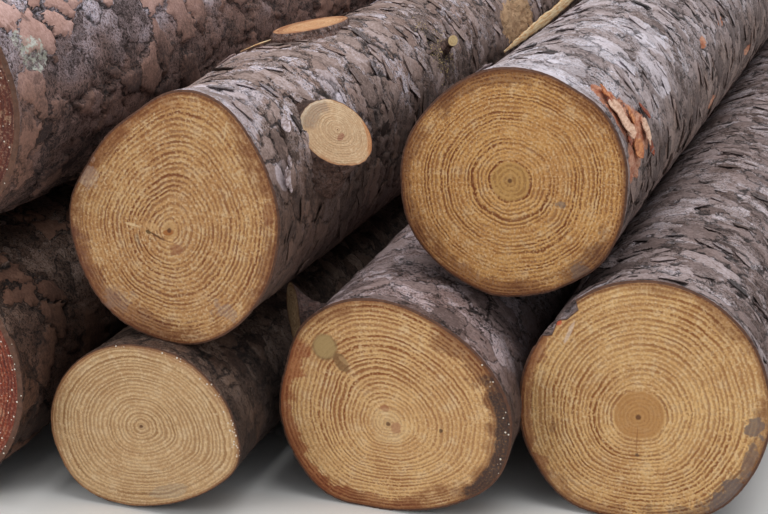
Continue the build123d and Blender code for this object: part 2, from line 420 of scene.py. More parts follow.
def bark_layers_group():
    """Puts out the masks and the height that every bark material colours."""
    tree = bpy.data.node_groups.new("Bark layers", "ShaderNodeTree")
    given, result = sockets(
        tree,
        [
            ("Skin", "NodeSocketVector", None),
            ("Vector", "NodeSocketVector", None),
            ("Furrow", "NodeSocketFloat", 0.0),
            ("Plate Width", "NodeSocketFloat", 0.04),
            ("Stretch", "NodeSocketFloat", 0.8),
            ("Seed", "NodeSocketFloat", 0.0),
            ("Steps", "NodeSocketFloat", 5.0),
            ("Rough Share", "NodeSocketFloat", 0.3),
            ("Slits", "NodeSocketFloat", 0.5),
            ("Bend", "NodeSocketFloat", 1.3),
        ],
        [
            ("Tone", "NodeSocketFloat"), ("Hue", "NodeSocketFloat"), ("Crack And Shadow", "NodeSocketFloat"),
            ("Plate", "NodeSocketFloat"), ("Height", "NodeSocketFloat"),
        ],
    )
    big = layers(
        tree, given["Skin"], given["Plate Width"], given["Stretch"], given["Seed"], given["Steps"],
        given["Rough Share"], given["Bend"],
    )
    small = layers(
        tree, given["Skin"], maths(tree, "MULTIPLY", given["Plate Width"], 0.36), given["Stretch"],
        maths(tree, "ADD", given["Seed"], 0.7), 3.0, 0.0, 1.3,
    )
    tree.links.new(big["plate"], result["Plate"])
    big_chance, small_chance = chance(tree, big, 0.0), chance(tree, small, 5.0)
    dust = noise(tree, given["Vector"], 240.0, 5.0, 0.7)["Fac"]
    slow = noise(tree, given["Vector"], 9.0, 3.0, 0.6)["Fac"]
    calm = maths(tree, "MULTIPLY_ADD", big["plate"], -0.6, 1.0)
    tone = maths(tree, "MULTIPLY_ADD", big_chance[0], 0.42, 0.04)
    part = maths(tree, "MULTIPLY", small_chance[0], calm)
    tone = maths(tree, "MULTIPLY_ADD", part, 0.32, tone)
    tone = maths(tree, "MULTIPLY_ADD", spread(tree, slow, 0.3, 0.7), 0.22, tone)
    grit = maths(tree, "MULTIPLY", maths(tree, "SUBTRACT", dust, 0.5), calm)
    tone = maths(tree, "MULTIPLY_ADD", grit, 2.9, tone, clamp=True)
    tree.links.new(tone, result["Tone"])
    hue = maths(
        tree, "MULTIPLY_ADD", small_chance[1], 0.4, maths(tree, "MULTIPLY", big_chance[1], 0.6)
    )
    tree.links.new(hue, result["Hue"])
    # Painted shadow: a dark slit on the lower layer just below each step, for the big and the small
    # flakes, where the layer above hangs over it.
    lip = spread(tree, big["step"], 0.8, 0.97)
    where = spread(tree, noise(tree, big["bent"], 0.7, 2.0)["Fac"], 0.5, 0.62)
    slit_shadow = maths(tree, "MULTIPLY", lip, maths(tree, "MULTIPLY", where, given["Slits"]), clamp=True)
    lip = spread(tree, small["step"], 0.82, 0.97)
    where = spread(tree, noise(tree, small["bent"], 0.35, 2.0)["Fac"], 0.52, 0.62)
    small_slit_shadow = maths(tree, "MULTIPLY", lip, maths(tree, "MULTIPLY", where, given["Slits"]), clamp=True)
    small_slit_shadow = maths(tree, "MULTIPLY", small_slit_shadow, calm)
    # Dark seams, furrows, plate outlines and pits join the slits: partly their own dark bark and
    # partly painted shade in them.
    seam = spread(tree, big["edge"], 0.0, 0.045, 1.0, 0.0)
    seam = maths(
        tree, "MULTIPLY", seam, spread(tree, noise(tree, big["bent"], 1.1, 2.0)["Fac"], 0.42, 0.55)
    )
    crack_and_shadow = maths(tree, "MAXIMUM", spread(tree, given["Furrow"], 0.25, 0.85), seam)
    crack_and_shadow = maths(tree, "MAXIMUM", crack_and_shadow, maths(tree, "MAXIMUM", slit_shadow, small_slit_shadow))
    pits = spread(tree, noise(tree, given["Vector"], 240.0, 3.0, 0.6)["Fac"], 0.55, 0.64)
    pits = maths(tree, "MULTIPLY", pits, maths(tree, "SUBTRACT", 1.0, big["plate"]))
    outline = spread(tree, noise(tree, big["bent"], 1.3, 2.0)["Fac"], 0.4, 0.55)
    outline = maths(tree, "MULTIPLY", big["rim"], outline)
    crack_and_shadow = maths(tree, "MAXIMUM", crack_and_shadow, maths(tree, "MAXIMUM", outline, pits))
    tree.links.new(crack_and_shadow, result["Crack And Shadow"])
    height = maths(tree, "MULTIPLY_ADD", small["level"], 0.35, big["level"])
    height = maths(tree, "MULTIPLY_ADD", grit, 2.0, height)
    height = maths(tree, "MULTIPLY_ADD", big["plate"], 1.0, height)
    tree.links.new(maths(tree, "MULTIPLY_ADD", crack_and_shadow, -0.8, height), result["Height"])
    return tree


bark_layers = bark_layers_group()
print("bark layers:", len(bark_layers.nodes), "nodes")


def use_group(tree, group, **inputs):
    """Places a node group with its own values and returns its outputs."""
    node = tree.nodes.new("ShaderNodeGroup")
    node.node_tree = group
    for key, value in inputs.items():
        fill(tree, node.inputs[key.replace("_", " ")], value)
    return node.outputs


def attribute(tree, name, output="Fac"):
    """Reads what a mesh keeps on its vertices."""
    return place(tree, "ShaderNodeAttribute", {"attribute_name": name}).outputs[output]


def new_material(name):
    """A material with its node tree, its shader and the place on the object."""
    material = bpy.data.materials.new(name)
    material.use_nodes = True
    tree = material.node_tree
    here = place(tree, "ShaderNodeTexCoord").outputs["Object"]
    return material, tree, tree.nodes["Principled BSDF"], here


def emboss(tree, shader, strength, distance, height):
    """Lets a height bend the light, without moving the surface."""
    bumped = place(tree, "ShaderNodeBump", Strength=strength, Distance=distance, Height=height)
    fill(tree, shader.inputs["Normal"], bumped.outputs[0])


wood_gloss = 0.35  # the specular level of bark and sawn wood

# %% [markdown]
# Each log's pattern has a size in metres across the plates, a stretch along the log, a number of
# steps, and a share of plates that have crumbled. The colours run from the furrows up to the
# weathered crests. The flanks and the underside are painted darker and browner by how far they
# face down: partly the brown of bark that never gets rain and sun, and partly painted shade.

# %% One log's bark
patterns = {
    "top_log_2": dict(
        size=0.052, stretch=0.80, seed=3.0, steps=5.5, rough=0.45, slits=1.0, bend=1.3
    ),
    "top_log_3": dict(
        size=0.056, stretch=0.80, seed=7.0, steps=5.5, rough=0.45, slits=1.0, bend=1.3
    ),
    "top_log_1": dict(
        size=0.062, stretch=1.0, seed=11.0, steps=3.5, rough=0.5, slits=1.0, bend=1.1
    ),
    "bottom_log_1": dict(
        size=0.062, stretch=1.0, seed=13.0, steps=3.5, rough=0.5, slits=1.0, bend=1.1
    ),
    "bottom_log_2": dict(
        size=0.040, stretch=0.85, seed=17.0, steps=3.0, rough=0.5, slits=0.8, bend=1.3
    ),
    "bottom_log_3": dict(
        size=0.055, stretch=0.80, seed=19.0, steps=5.0, rough=0.55, slits=1.0, bend=1.3
    ),
    "bottom_log_4": dict(
        size=0.058, stretch=0.70, seed=23.0, steps=5.5, rough=0.5, slits=1.0, bend=1.3
    ),
}


def bark(name, pattern, deep, body, pale, crest, warm, under, bump, mark=None, plates=None):
    """The material of a log's bark.

    plates is (share, pale, dark): how strongly whole plates take colours of their own. mark is
    (patch, border, torn through, holes): the colours of a wound or of lichen, and how open it is.
    """
    material, tree, shader, here = new_material(name)
    flakes = use_group(
        tree, bark_layers, Skin=attribute(tree, "skin", "Vector"), Vector=here,
        Furrow=attribute(tree, "furrow"), Plate_Width=pattern["size"], Stretch=pattern["stretch"],
        Seed=pattern["seed"], Steps=pattern["steps"], Rough_Share=pattern["rough"],
        Slits=pattern["slits"], Bend=pattern["bend"],
    )
    colour = ramp(tree, flakes["Tone"], [(0.12, deep), (0.36, body), (0.6, pale), (0.86, crest)])
    reddish = maths(tree, "MULTIPLY", spread(tree, flakes["Hue"], 0.5, 0.72), 0.55)
    colour = blend(tree, reddish, colour, blend(tree, flakes["Tone"], deep, warm))
    if plates:
        amount = maths(tree, "MULTIPLY", flakes["Plate"], plates[0])
        smooth = blend(tree, flakes["Tone"], plates[2], plates[1])
        colour = blend(tree, amount, colour, smooth)
    # Painted shade: the lower the bark faces, by the "sky" attribute with a slow noise for a soft
    # border, the more it turns to the under colour. That brown is partly the real colour of bark
    # that gets no weather and partly painted shade.
    drift = maths(tree, "SUBTRACT", noise(tree, here, 12.0, 3.0, 0.6)["Fac"], 0.5)
    height = maths(tree, "MULTIPLY_ADD", drift, 0.9, attribute(tree, "sky"))
    painted_shade = maths(tree, "MULTIPLY", spread(tree, height, 0.72, 0.08), 0.9)
    colour = blend(
        tree, painted_shade, colour, blend(tree, spread(tree, flakes["Tone"], 0.15, 0.75), deep, under)
    )
    # Painted highlight: the pale sheets, where the "pale" attribute is high on the upper side, are
    # peeling bark and also stand in for the highlight there.
    sheet_and_highlight = maths(
        tree, "MULTIPLY_ADD", noise(tree, here, 55.0, 4.0, 0.6)["Fac"], 1.1, attribute(tree, "pale")
    )
    sheet_and_highlight = maths(tree, "MULTIPLY", spread(tree, sheet_and_highlight, 1.1, 1.25), 0.5)
    smooth = blend(tree, spread(tree, flakes["Tone"], 0.1, 0.7), pale, crest)
    colour = blend(tree, sheet_and_highlight, colour, smooth)
    # The dark cracks and slit shadows, partly painted shade, show less in the painted shade and on
    # the pale sheets.
    dark_cracks_and_shadow = maths(
        tree, "MULTIPLY", flakes["Crack And Shadow"], maths(tree, "MULTIPLY_ADD", painted_shade, -0.35, 0.9)
    )
    dark_cracks_and_shadow = maths(tree, "MULTIPLY", dark_cracks_and_shadow, maths(tree, "MULTIPLY_ADD", sheet_and_highlight, -0.5, 1.0))
    colour = blend(tree, dark_cracks_and_shadow, colour, tint(30, 22, 20))
    if mark:
        patch_colour, rim, torn_through, holes = mark
        ragged = noise(tree, here, 70.0, 4.0, 0.65)["Fac"]
        inside = maths(tree, "MULTIPLY_ADD", ragged, 1.1, attribute(tree, "mark"))
        shown = spread(tree, inside, 1.10, 1.13)
        gaps = maths(
            tree, "MULTIPLY", spread(tree, noise(tree, here, 130.0, 4.0, 0.6)["Fac"], 0.53, 0.47),
            holes,
        )
        shown = maths(tree, "MULTIPLY", shown, maths(tree, "SUBTRACT", 1.0, gaps))
        streaks = noise(
            tree, vectors(tree, "MULTIPLY", here, (120.0, 40.0, 120.0)), 1.0, 3.0
        )["Fac"]
        torn = maths(tree, "FRACT", maths(tree, "MULTIPLY", ragged, 9.0))
        skin = blend(tree, spread(tree, streaks, 0.3, 0.65), rim, patch_colour)
        skin = blend(tree, spread(tree, torn, 0.75, 0.95, 0.0, 0.75), skin, rim)
        skin = blend(tree, spread(tree, inside, 1.22, 1.10), skin, rim)
        skin = blend(tree, spread(tree, streaks, 0.6, 0.7, 0.0, 0.8), skin, torn_through)
        colour = blend(tree, shown, colour, skin)
    fill(tree, shader.inputs["Base Color"], colour)
    fill(tree, shader.inputs["Roughness"], spread(tree, flakes["Tone"], 0.0, 1.0, 0.85, 0.6))
    shader.inputs["Specular IOR Level"].default_value = wood_gloss
    emboss(tree, shader, 1.0, bump, flakes["Height"])
    return material


# The sixth colour of each log is its under colour: the brown of the underside and flanks, partly
# the real colour of unweathered bark and partly painted shade.
bark_material = {
    "top_log_2": bark(
        "bark_top_2", patterns["top_log_2"],
        tint(72, 56, 50), tint(134, 113, 104), tint(176, 155, 150), tint(224, 214, 224),
        tint(170, 130, 108), tint(104, 78, 64), 0.0011,
        (tint(208, 172, 134), tint(176, 138, 104), tint(146, 108, 80), 0.0),
        (0.4, tint(180, 158, 152), tint(128, 106, 98)),
    ),
    "top_log_3": bark(
        "bark_top_3", patterns["top_log_3"],
        tint(84, 68, 64), tint(148, 132, 130), tint(190, 176, 178), tint(226, 220, 230),
        tint(172, 144, 132), tint(142, 116, 104), 0.0011,
        (tint(214, 162, 134), tint(170, 98, 66), tint(104, 56, 40), 0.0),
        (0.4, tint(196, 182, 184), tint(146, 130, 128)),
    ),
    "top_log_1": bark(
        "bark_top_1", patterns["top_log_1"],
        tint(60, 47, 45), tint(130, 112, 113), tint(190, 175, 182), tint(238, 228, 242),
        tint(172, 130, 114), tint(142, 106, 91), 0.0014,
        (tint(206, 206, 198), tint(170, 168, 154), tint(132, 110, 98), 0.85),
        (0.85, tint(220, 176, 162), tint(152, 112, 99)),
    ),
    "bottom_log_1": bark(
        "bark_bottom_1", patterns["bottom_log_1"],
        tint(42, 30, 25), tint(88, 66, 55), tint(126, 100, 86), tint(164, 140, 128),
        tint(118, 80, 60), tint(104, 72, 56), 0.0014, None,
        (0.8, tint(148, 106, 84), tint(96, 65, 52)),
    ),
    "bottom_log_2": bark(
        "bark_bottom_2", patterns["bottom_log_2"],
        tint(42, 31, 27), tint(84, 66, 57), tint(118, 96, 83), tint(150, 129, 117),
        tint(106, 75, 57), tint(66, 50, 43), 0.0009,
    ),
    "bottom_log_3": bark(
        "bark_bottom_3", patterns["bottom_log_3"],
        tint(78, 61, 57), tint(150, 127, 123), tint(192, 170, 170), tint(230, 212, 217),
        tint(160, 121, 105), tint(76, 58, 50), 0.0011, None,
        (0.5, tint(174, 154, 151), tint(118, 99, 96)),
    ),
    "bottom_log_4": bark(
        "bark_bottom_4", patterns["bottom_log_4"],
        tint(66, 50, 46), tint(130, 111, 106), tint(174, 156, 154), tint(216, 203, 208),
        tint(144, 112, 98), tint(110, 86, 75), 0.0011, None,
        (0.4, tint(158, 140, 138), tint(114, 96, 92)),
    ),
}
print("bark materials:", len(bark_material))

# %% [markdown]
# ## Sawn wood as a material
# A cut through a pine shows pale, wide rings of spring wood, each closed by a thin dark line of
# summer wood. The chain of the saw smears and lifts the fibres, so the dark lines break up into
# short dashes. Resin stains the outermost wood red-brown. The UV vector's length gives the share
# of the way from the pith to the bark, and a sawtooth of it gives the rings. The group puts out
# masks only: the distance itself, the broken rings and a height for the bump.

# %% The growth ring group
def from_pith(tree, cut):
    """The UV map of a saw cut, turned into a vector from the pith, 1 long at the bark."""
    return vectors(tree, "SCALE", vectors(tree, "SUBTRACT", cut, (0.5, 0.5, 0.0)), 4.0)


def growth_rings_group():
    """Puts out the masks and the height that every sawn end colours."""
    tree = bpy.data.node_groups.new("Growth rings", "ShaderNodeTree")
    given, result = sockets(
        tree,
        [
            ("Cut", "NodeSocketVector", None),
            ("Vector", "NodeSocketVector", None),
            ("Rings", "NodeSocketFloat", 24.0),
            ("Crowding", "NodeSocketFloat", 1.15),
            ("Wander", "NodeSocketFloat", 0.02),
            ("Dashes", "NodeSocketFloat", 0.5),
            ("Seed", "NodeSocketFloat", 0.0),
        ],
        [
            ("Share", "NodeSocketFloat"), ("Line", "NodeSocketFloat"),
            ("Height", "NodeSocketFloat"),
        ],
    )
    centred = from_pith(tree, given["Cut"])
    share = vectors(tree, "LENGTH", centred)
    tree.links.new(share, result["Share"])
    shifted = vectors(tree, "ADD", centred, vectors(tree, "SCALE", (1.7, 2.9, 4.1), given["Seed"]))
    drift = maths(tree, "SUBTRACT", noise(tree, shifted, 1.4, 3.0)["Fac"], 0.5)
    wavy = maths(tree, "MULTIPLY_ADD", drift, given["Wander"], share)
    ripple = maths(tree, "SUBTRACT", noise(tree, shifted, 7.0, 2.0)["Fac"], 0.5)
    wavy = maths(tree, "MULTIPLY_ADD", ripple, 0.03, wavy)
    frayed = maths(tree, "SUBTRACT", noise(tree, given["Vector"], 300.0, 2.0, 0.6)["Fac"], 0.5)
    wavy = maths(tree, "MULTIPLY_ADD", frayed, 0.022, wavy)
    turned = maths(tree, "POWER", maths(tree, "MAXIMUM", wavy, 0.0001), given["Crowding"])
    phase = maths(tree, "MULTIPLY", turned, given["Rings"])
    years = place(
        tree, "ShaderNodeCombineXYZ", X=maths(tree, "MULTIPLY", share, 9.0), Y=given["Seed"]
    )
    phase = maths(tree, "MULTIPLY_ADD", noise(tree, years.outputs[0], 1.0, 1.0)["Fac"], 1.6, phase)
    tooth = maths(tree, "FRACT", phase)
    rise = spread(tree, tooth, 0.22, 0.58)
    fall = spread(tree, tooth, 0.82, 1.0, 1.0, 0.0)
    line = maths(tree, "MULTIPLY", rise, fall)
    year = place(tree, "ShaderNodeCombineXYZ", X=maths(tree, "FLOOR", phase), Y=given["Seed"])
    weight = place(
        tree, "ShaderNodeTexWhiteNoise", {"noise_dimensions": "3D"}, Vector=year.outputs[0]
    )
    weight = spread(tree, weight.outputs["Value"], 0.0, 1.0, 0.6, 1.0)
    sector = spread(tree, noise(tree, shifted, 1.3, 3.0, 0.6)["Fac"], 0.35, 0.62, 0.6, 1.0)
    weight = maths(tree, "MULTIPLY", weight, sector)
    speckle = noise(tree, given["Vector"], 270.0, 2.0, 0.55)["Fac"]
    patchy = noise(tree, given["Vector"], 30.0, 2.0)["Fac"]
    limit = maths(tree, "MULTIPLY_ADD", patchy, 0.5, maths(tree, "SUBTRACT", given["Dashes"], 0.27))
    dashes = spread(tree, maths(tree, "SUBTRACT", speckle, limit), -0.06, 0.06)
    broken = maths(tree, "MULTIPLY_ADD", dashes, 1.0, 0.3, clamp=True)
    line = maths(tree, "MULTIPLY", maths(tree, "MULTIPLY", line, weight), broken)
    tree.links.new(line, result["Line"])
    torn = noise(
        tree, vectors(tree, "MULTIPLY", given["Vector"], (1.0, 1.0, 2.2)), 420.0, 3.0
    )["Fac"]
    height = maths(tree, "MULTIPLY_ADD", torn, 0.6, maths(tree, "MULTIPLY", line, -0.8))
    tree.links.new(height, result["Height"])
    return tree


growth_rings = growth_rings_group()
print("growth rings:", len(growth_rings.nodes), "nodes")


def patch(tree, here, spot, half, turned=0.0, ragged=0.3):
    """A mask for an oval mark on a saw cut: its middle (x, z), half sizes and turn in degrees."""
    move = place(
        tree, "ShaderNodeMapping", {"vector_type": "TEXTURE"}, Vector=here,
        Location=(spot[0], 0.0, spot[1]), Rotation=(0.0, -radians(turned), 0.0),
        Scale=(half[0], 1.0, half[1]),
    ).outputs[0]
    away = vectors(tree, "LENGTH", vectors(tree, "MULTIPLY", move, (1.0, 0.0, 1.0)))
    rough = maths(tree, "SUBTRACT", noise(tree, here, 1.2 / max(half), 4.0, 0.65)["Fac"], 0.5)
    away = maths(tree, "MULTIPLY_ADD", rough, ragged * 4, away)
    return spread(tree, away, 1.0, 0.7)


def rim_mark(tree, cut, here, share, turned, half, inner, ragged=0.4):
    """A mask for a mark along the rim: its direction, half angle and inner share of the radius."""
    centred = from_pith(tree, cut)
    toward = (cos(radians(turned)), sin(radians(turned)), 0.0)
    facing = maths(tree, "DIVIDE", vectors(tree, "DOT_PRODUCT", centred, toward), share)
    rough = maths(tree, "SUBTRACT", noise(tree, here, 42.0, 5.0, 0.65)["Fac"], 0.5)
    facing = maths(tree, "MULTIPLY_ADD", rough, 0.4, facing)
    reach = maths(tree, "MULTIPLY_ADD", rough, ragged, share)
    facing = spread(tree, facing, cos(radians(half)), cos(radians(half)) + 0.12)
    return maths(tree, "MULTIPLY", facing, spread(tree, reach, inner, inner + (1 - inner) * 0.3))


def sawn_wood(
    name, pale, dark, stain, rim, rings, crowding, dashes, seed, heart=None, stain_from=0.8,
    stain_share=0.7, wet=0.0, contrast=0.95, spots=(), rims=(),
):
    """The material of a sawn end. heart is (share, colour) of a coloured core.

    rims are marks along the bark: (direction, half angle, inner share, strength, colour). spots
    are oval marks: (middle, half sizes, turn, strength, colour). Both may end in a raggedness.
    """
    material, tree, shader, here = new_material(name)
    cut = place(tree, "ShaderNodeUVMap", {"uv_map": "cut"}).outputs[0]
    wood = use_group(
        tree, growth_rings, Cut=cut, Vector=here, Rings=rings, Crowding=crowding, Wander=0.06,
        Dashes=dashes, Seed=float(seed),
    )
    share = wood["Share"]
    shade, cream = blend(tree, 0.45, pale, stain), blend(tree, 0.5, pale, tint(228, 202, 164))
    cloudy = noise(tree, here, 14.0, 4.0, 0.6)["Fac"]
    ground = blend(tree, spread(tree, cloudy, 0.35, 0.7), pale, shade)
    blotch = noise(
        tree, vectors(tree, "ADD", here, (seed * 0.37, 0.0, 0.0)), 55.0, 4.0, 0.65
    )["Fac"]
    ground = blend(tree, spread(tree, blotch, 0.5, 0.64, 0.0, 0.9), ground, shade)
    ground = blend(tree, spread(tree, blotch, 0.47, 0.34, 0.0, 0.8), ground, cream)
    fibre = noise(tree, here, 340.0, 3.0, 0.6)["Fac"]
    ground = blend(tree, spread(tree, fibre, 0.48, 0.68), ground, cream)
    ground = blend(tree, spread(tree, fibre, 0.48, 0.32, 0.0, 0.8), ground, shade)
    line = wood["Line"]
    if heart:
        heart_share, heart_colour = heart
        core = maths(tree, "MULTIPLY_ADD", cloudy, 0.04, share)
        core = spread(tree, core, heart_share, heart_share * 0.9, 0.0, 0.75)
        ground = blend(tree, core, ground, heart_colour)
        line = maths(tree, "MULTIPLY", line, maths(tree, "MULTIPLY_ADD", core, -0.75, 1.0))
    colour = blend(tree, maths(tree, "MULTIPLY", line, contrast), ground, dark)
    specks = spread(tree, noise(tree, here, 520.0, 2.0, 0.5)["Fac"], 0.6, 0.7)
    colour = blend(tree, maths(tree, "MULTIPLY", specks, 0.5), colour, dark)
    sides = noise(tree, vectors(tree, "MULTIPLY", here, (1.0, 0.0, 1.0)), 7.5, 3.0, 0.6)["Fac"]
    reach = maths(tree, "MULTIPLY_ADD", maths(tree, "SUBTRACT", sides, 0.5), 0.9, share)
    soaked = spread(tree, reach, stain_from, stain_from + 0.12)
    soaked = maths(tree, "MULTIPLY", soaked, spread(tree, blotch, 0.35, 0.6, 0.4, 1.0))
    soaked = maths(tree, "MAXIMUM", soaked, spread(tree, share, 0.965, 0.985))
    soaked = maths(tree, "MULTIPLY", soaked, stain_share)
    wet_wood = blend(tree, spread(tree, fibre, 0.35, 0.65), rim, stain)
    darker = vectors(tree, "MULTIPLY", colour, tuple(r / p for r, p in zip(rim[:3], pale[:3])))
    colour = blend(tree, soaked, colour, blend(tree, 0.6, wet_wood, darker))
    for turned, half, inner, amount, rim_colour, *ragged in rims:
        mask = rim_mark(tree, cut, here, share, turned, half, inner, *ragged)
        mask = maths(tree, "MULTIPLY", mask, spread(tree, fibre, 0.3, 0.55, 0.55, 1.0))
        ratio = tuple(min(r / p, 1.15) for r, p in zip(rim_colour[:3], pale[:3]))
        darker = blend(tree, 0.65, rim_colour, vectors(tree, "MULTIPLY", colour, ratio))
        colour = blend(tree, maths(tree, "MULTIPLY", mask, amount), colour, darker)
    for spot, half, turned, amount, spot_colour, *ragged in spots:
        mask = patch(tree, here, spot, half, turned, *ragged)
        mask = maths(tree, "MULTIPLY", mask, spread(tree, fibre, 0.3, 0.5, 0.7, 1.0))
        shown = maths(tree, "MULTIPLY", mask, amount)
        colour = blend(tree, shown, colour, spot_colour)
    pith = spread(tree, share, 0.028, 0.014)
    colour = blend(tree, maths(tree, "MULTIPLY", pith, 0.85), colour, tint(92, 52, 28))
    bark_edge = spread(tree, share, 1.002, 1.012)
    crust = blend(tree, noise(tree, here, 160.0, 3.0)["Fac"], tint(60, 36, 26), tint(120, 82, 62))
    colour = blend(tree, bark_edge, colour, crust)
    fill(tree, shader.inputs["Base Color"], colour)
    damp = maths(tree, "MULTIPLY", soaked, wet)
    fill(tree, shader.inputs["Roughness"], maths(tree, "MULTIPLY_ADD", damp, -0.5, 0.72))
    shader.inputs["Specular IOR Level"].default_value = wood_gloss
    emboss(tree, shader, 0.9, 0.0010, wood["Height"])
    return material


# %% [markdown]
# The seven logs come from different trees. Four are golden with strong rings, the small one is
# pale and even, and the two at the left edge are red with resin. Marks such as a chip at the pith,
# a scratch, grey dirt or a knot that the saw cut through are listed with each log by their place
# on the cut. The chip is drawn flat, so the shade in its hole and under its edge is painted shade.

